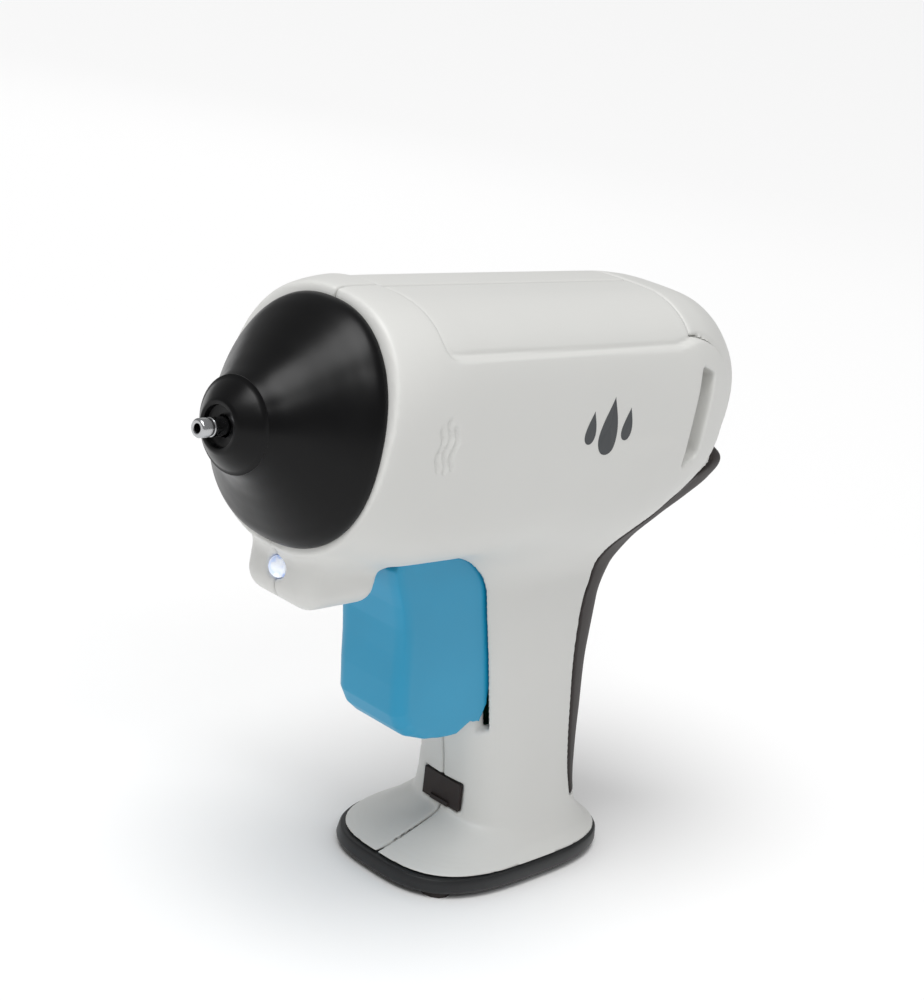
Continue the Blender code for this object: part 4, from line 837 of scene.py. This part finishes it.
print("controls")
skin = buttonHigh[1]
buttonPiece = turnedPiece("power_button_cap", [
    (buttonLow[1], 0.001), (buttonLow[1], 4.5), (skin - 3.1, 4.5), (skin - 3.1, 6.0),
    (skin - 0.9, 6.0), (skin - 0.35, 5.85), (skin - 0.05, 5.3), (skin, 4.7), (skin - 0.35, 3.6),
    (skin - 0.6, 2.0), (skin - 0.65, 0.001)], (buttonX, 0, buttonZ), "button", acetal,
    axis="Y")
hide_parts("power_button")
inletLow, inletHigh = boxOf("inlet_ring")
guideHigh = boxOf("stick_guide")[1]
hole, outerR, rearX = 6.0, guideHigh[1], inletHigh[0]
ringProfile = [(inletLow[0], hole), (inletLow[0], outerR), (rearX - 1.3, outerR),
               (rearX - 1.3, outerR + 1.4), (rearX - 0.6, outerR + 1.4),
               (rearX - 0.25, outerR + 1.2), (rearX - 0.02, outerR + 0.7), (rearX, outerR + 0.2),
               (rearX - 0.25, hole + 1.1), (rearX - 1.0, hole + 0.3)]
ringEnd = turnedPiece("glue_inlet_ring", ringProfile, (0, 0, 0), "housing", blackAbs)
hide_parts("inlet_ring")

print("screws")
for k in range(1, 7):
    low, high = boxOf("screw_%d" % k)
    a, h = (low[0] + high[0]) / 2, (low[2] + high[2]) / 2
    top = high[1]
    head = [(low[1], 0.001), (low[1] + 0.8, 1.0)]
    turns = int((top - 2.2 - low[1]) / 1.0)
    for n in range(1, turns):
        head += [(low[1] + n, 1.3), (low[1] + n + 0.5, 1.05)]
    head += [(top - 1.8, 1.3), (top - 1.8, 2.6), (top - 0.9, 2.6), (top - 0.3, 2.2),
             (top, 1.5), (top, 0.001)]
    screwPiece = turnedPiece("case_screw_%d" % k, head, (a, 0, h), "housing", platedSteel,
                             axis="Y", segments=36)
    for wide, tall in ((0.35, 1.5), (1.5, 0.35)):
        work = bmesh.new()
        bmesh.ops.create_cube(work, size=1)
        bmesh.ops.scale(work, vec=Vector((2 * wide, 2.0, 2 * tall)) / 1000, verts=work.verts)
        bmesh.ops.translate(work, vec=place(a, top, h), verts=work.verts)
        carve(screwPiece, "cross", work)
    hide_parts("screw_%d" % k)

print("base")
base = {"power": 3.0, "count": 120, "seatRadius": 4.3, "seatDepth": 4.0, "padInset": 0.3}
baseLow, baseHigh = boxOf("base_plate")


def baseRing(level, grow):
    half = (baseHigh[1] - baseLow[1]) / 2 + grow - 0.1
    depth = (baseHigh[0] - baseLow[0]) / 2 + grow - 0.1
    middle = (baseLow[0] + baseHigh[0]) / 2
    points = []
    for i in range(base["count"]):
        a = 2 * math.pi * (i + 0.5) / base["count"]
        ca, sa = math.cos(a), math.sin(a)
        points.append((middle + depth * math.copysign(abs(ca) ** (2 / base["power"]), ca),
                       half * math.copysign(abs(sa) ** (2 / base["power"]), sa), level))
    return points


padTop = boxOf("foot_pad_1")[1][2]
baseRows = [(baseHigh[2], -0.9), (baseHigh[2] - 0.12, -0.55), (baseHigh[2] - 0.5, -0.3),
            (baseLow[2] + 1.2, 0.0), (baseLow[2] + 0.5, -0.2), (baseLow[2] + 0.15, -0.6),
            (baseLow[2], -1.2)]
basePiece = ringPiece("base_foot", [baseRing(h, g) for h, g in baseRows], "housing", blackAbs)
for k in range(1, 5):
    low, high = boxOf("foot_pad_%d" % k)
    a, s = (low[0] + high[0]) / 2, (low[1] + high[1]) / 2
    work = bmesh.new()
    bmesh.ops.create_cone(work, cap_ends=True, segments=48, radius1=base["seatRadius"] / 1000,
                          radius2=base["seatRadius"] / 1000, depth=base["seatDepth"] / 1000)
    seatMiddle = padTop + base["padInset"] - base["seatDepth"] / 2
    bmesh.ops.translate(work, vec=place(a, s, seatMiddle), verts=work.verts)
    carve(basePiece, "seat", work)
basePiece.data.set_sharp_from_angle(angle=math.radians(35))
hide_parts("base_plate")

print("printed mark")
mark = {"x": 73.9, "z": 2.1, "wide": 3.4, "tall": 5.0, "under": -0.07, "over": 0.12}
skinY = y[0, :, 0]


def flankAt(px, pz):
    # Depth of the left flank's surface at a side-view point
    i = (px - gridLow[0]) / voxel
    k = (pz - gridLow[2]) / voxel
    i0, k0 = int(i), int(k)
    fi, fk0 = i - i0, k - k0
    depths = (outer[i0, :, k0] * (1 - fi) * (1 - fk0) + outer[i0 + 1, :, k0] * fi * (1 - fk0)
              + outer[i0, :, k0 + 1] * (1 - fi) * fk0 + outer[i0 + 1, :, k0 + 1] * fi * fk0)
    inside = int(np.argmax(depths < 0))
    d0, d1 = depths[inside - 1], depths[inside]
    return skinY[inside - 1] + voxel * d0 / (d0 - d1)


def printed(name, loops):
    # Thin layer of ink between paired outline loops laid on the flank
    points, faces = [], []
    count = len(loops[0])
    for out in (mark["under"], mark["over"]):
        for loop in loops:
            points += [(px, flankAt(px, pz) + out, pz) for px, pz in loop]
    rows = len(loops)
    for layer in (0, 1):
        start = layer * rows * count
        for n in range(rows - 1):
            for i in range(count):
                j = (i + 1) % count
                quad = [start + n * count + i, start + n * count + j,
                        start + (n + 1) * count + j, start + (n + 1) * count + i]
                faces.append(quad if layer == 0 else quad[::-1])
    for n in (0, rows - 1):
        for i in range(count):
            j = (i + 1) % count
            low0, up = n * count, (rows + n) * count
            quad = [low0 + i, low0 + j, up + j, up + i]
            faces.append(quad if n else quad[::-1])
    piece = meshPiece(name, points, faces, "housing", ink)
    work = bmesh.new()
    work.from_mesh(piece.data)
    bmesh.ops.remove_doubles(work, verts=work.verts, dist=1e-7)
    bmesh.ops.recalc_face_normals(work, faces=work.faces)
    work.to_mesh(piece.data)
    work.free()
    piece.data.set_sharp_from_angle(angle=math.radians(40))
    return piece


def dropLoop(middleX, size, scale, count=60):
    # Falling drop of glue
    points = []
    for i in range(count):
        t = 2 * math.pi * i / count
        px = mark["wide"] * size * math.sin(t) * math.sin(t / 2) ** 1.4 * scale
        pz = mark["tall"] * size * math.cos(t) * scale
        points.append((mark["x"] + middleX + px, mark["z"] + pz))
    return points


for n, (middleX, size) in enumerate(((-7.0, 0.8), (0.0, 1.4), (7.0, 0.8))):
    printed("printed_drop_%d" % (n + 1),
            [dropLoop(middleX, size, 1.0), dropLoop(middleX, size, 0.02)])

print("spring")
# Compression spring between its seat and the carriage. The real spring is squeezed as the carriage
# goes forward; this coil is built at one fixed length.
coil = {"front": 26.3, "rear": 45.24, "radius": 11.2, "wire": 0.6, "turns": 6, "sides": 12,
        "squeezed": 0.56}
rings = []
steps = coil["turns"] * 36
for k in range(steps + 1):
    share = k / steps
    angle = 2 * math.pi * coil["turns"] * share
    middleX = coil["front"] + coil["wire"]
    middleX += (coil["rear"] - coil["front"] - 2 * coil["wire"]) * share
    ring = []
    for i in range(coil["sides"]):
        around = 2 * math.pi * i / coil["sides"]
        out = coil["radius"] + coil["wire"] * math.cos(around)
        ring.append((middleX + coil["wire"] * math.sin(around),
                     out * math.cos(angle), out * math.sin(angle)))
    rings.append(ring)
springPiece = ringPiece("return_spring_coil", rings, "housing", platedSteel)
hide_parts("return_spring")
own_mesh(springPiece)

print("stage")
studio = {"floor": 90.0, "surround": 0.32, "noseSide": 3.2, "rearRight": 0.35, "ceiling": 2.3,
          "ceilingAngle": 38}
floorMesh = bpy.data.meshes.new("floor")
work = bmesh.new()
bmesh.ops.create_grid(work, x_segments=1, y_segments=1, size=studio["floor"])
work.to_mesh(floorMesh)
work.free()
floor = bpy.data.objects.new("floor", floorMesh)
bpy.context.scene.collection.objects.link(floor)
# White paper sweep: matt and even
floorMesh.materials.append(newMaterial("paper sweep white", "FAFAFA", 0.9)[0])

world = bpy.data.worlds.new("studio")
bpy.context.scene.world = world
world.use_nodes = True
world.node_tree.nodes["Background"].inputs[0].default_value = toLinear("FFFFFF")
world.node_tree.nodes["Background"].inputs[1].default_value = studio["surround"]


def softBox(name, spot, target, size, power):
    light = bpy.data.lights.new(name, "AREA")
    light.shape = "RECTANGLE"
    light.size, light.size_y = size
    light.energy = power
    lamp = bpy.data.objects.new(name, light)
    lamp.location = Vector(spot)
    lamp.rotation_euler = (Vector(target) - Vector(spot)).to_track_quat("-Z", "Y").to_euler()
    bpy.context.scene.collection.objects.link(lamp)


middle = place(60, 0, -30)
softBox("nose side", middle + Vector((-0.75, -0.95, 1.15)), middle, (0.7, 0.12),
        studio["noseSide"])
softBox("rear right", middle + Vector((0.7, 0.9, 0.6)), middle, (0.5, 0.8),
        studio["rearRight"])
ceiling = bpy.data.lights.new("ceiling", "SUN")
ceiling.energy = studio["ceiling"]
ceiling.angle = math.radians(studio["ceilingAngle"])
ceilingLamp = bpy.data.objects.new("ceiling", ceiling)
ceilingLamp.rotation_euler = Vector((-0.35, -0.08, 0.93)).to_track_quat("Z", "Y").to_euler()
bpy.context.scene.collection.objects.link(ceilingLamp)

# Standing left of the nose, a little above it and rolled
camera = {"x": -297.6, "y": -283.1, "z": 115.6, "turn": -51.6, "tilt": 17.1, "roll": 12.0,
          "lens": 72.0}
ct, st = math.cos(math.radians(camera["turn"])), math.sin(math.radians(camera["turn"]))
ce, se = math.cos(math.radians(camera["tilt"])), math.sin(math.radians(camera["tilt"]))
rightWay = Vector((ct, st, 0))
backWay = Vector((st * ce, -ct * ce, se))
upWay = backWay.cross(rightWay)
cr, sr = math.cos(math.radians(camera["roll"])), math.sin(math.radians(camera["roll"]))
turned = Matrix((rightWay * cr + upWay * sr, upWay * cr - rightWay * sr, backWay)).transposed()
cameraData = bpy.data.cameras.new("camera")
cameraData.lens = camera["lens"]
cameraData.sensor_fit = "AUTO"
cameraData.sensor_width = 36.0
cameraData.clip_start = 0.01
cameraObject = bpy.data.objects.new("camera", cameraData)
bpy.context.scene.collection.objects.link(cameraObject)
cameraObject.matrix_world = Matrix.Translation(place(camera["x"], camera["y"], camera["z"])) \
    @ turned.to_4x4()
bpy.context.scene.camera = cameraObject
bpy.context.scene.view_settings.view_transform = "Standard"

print("done")
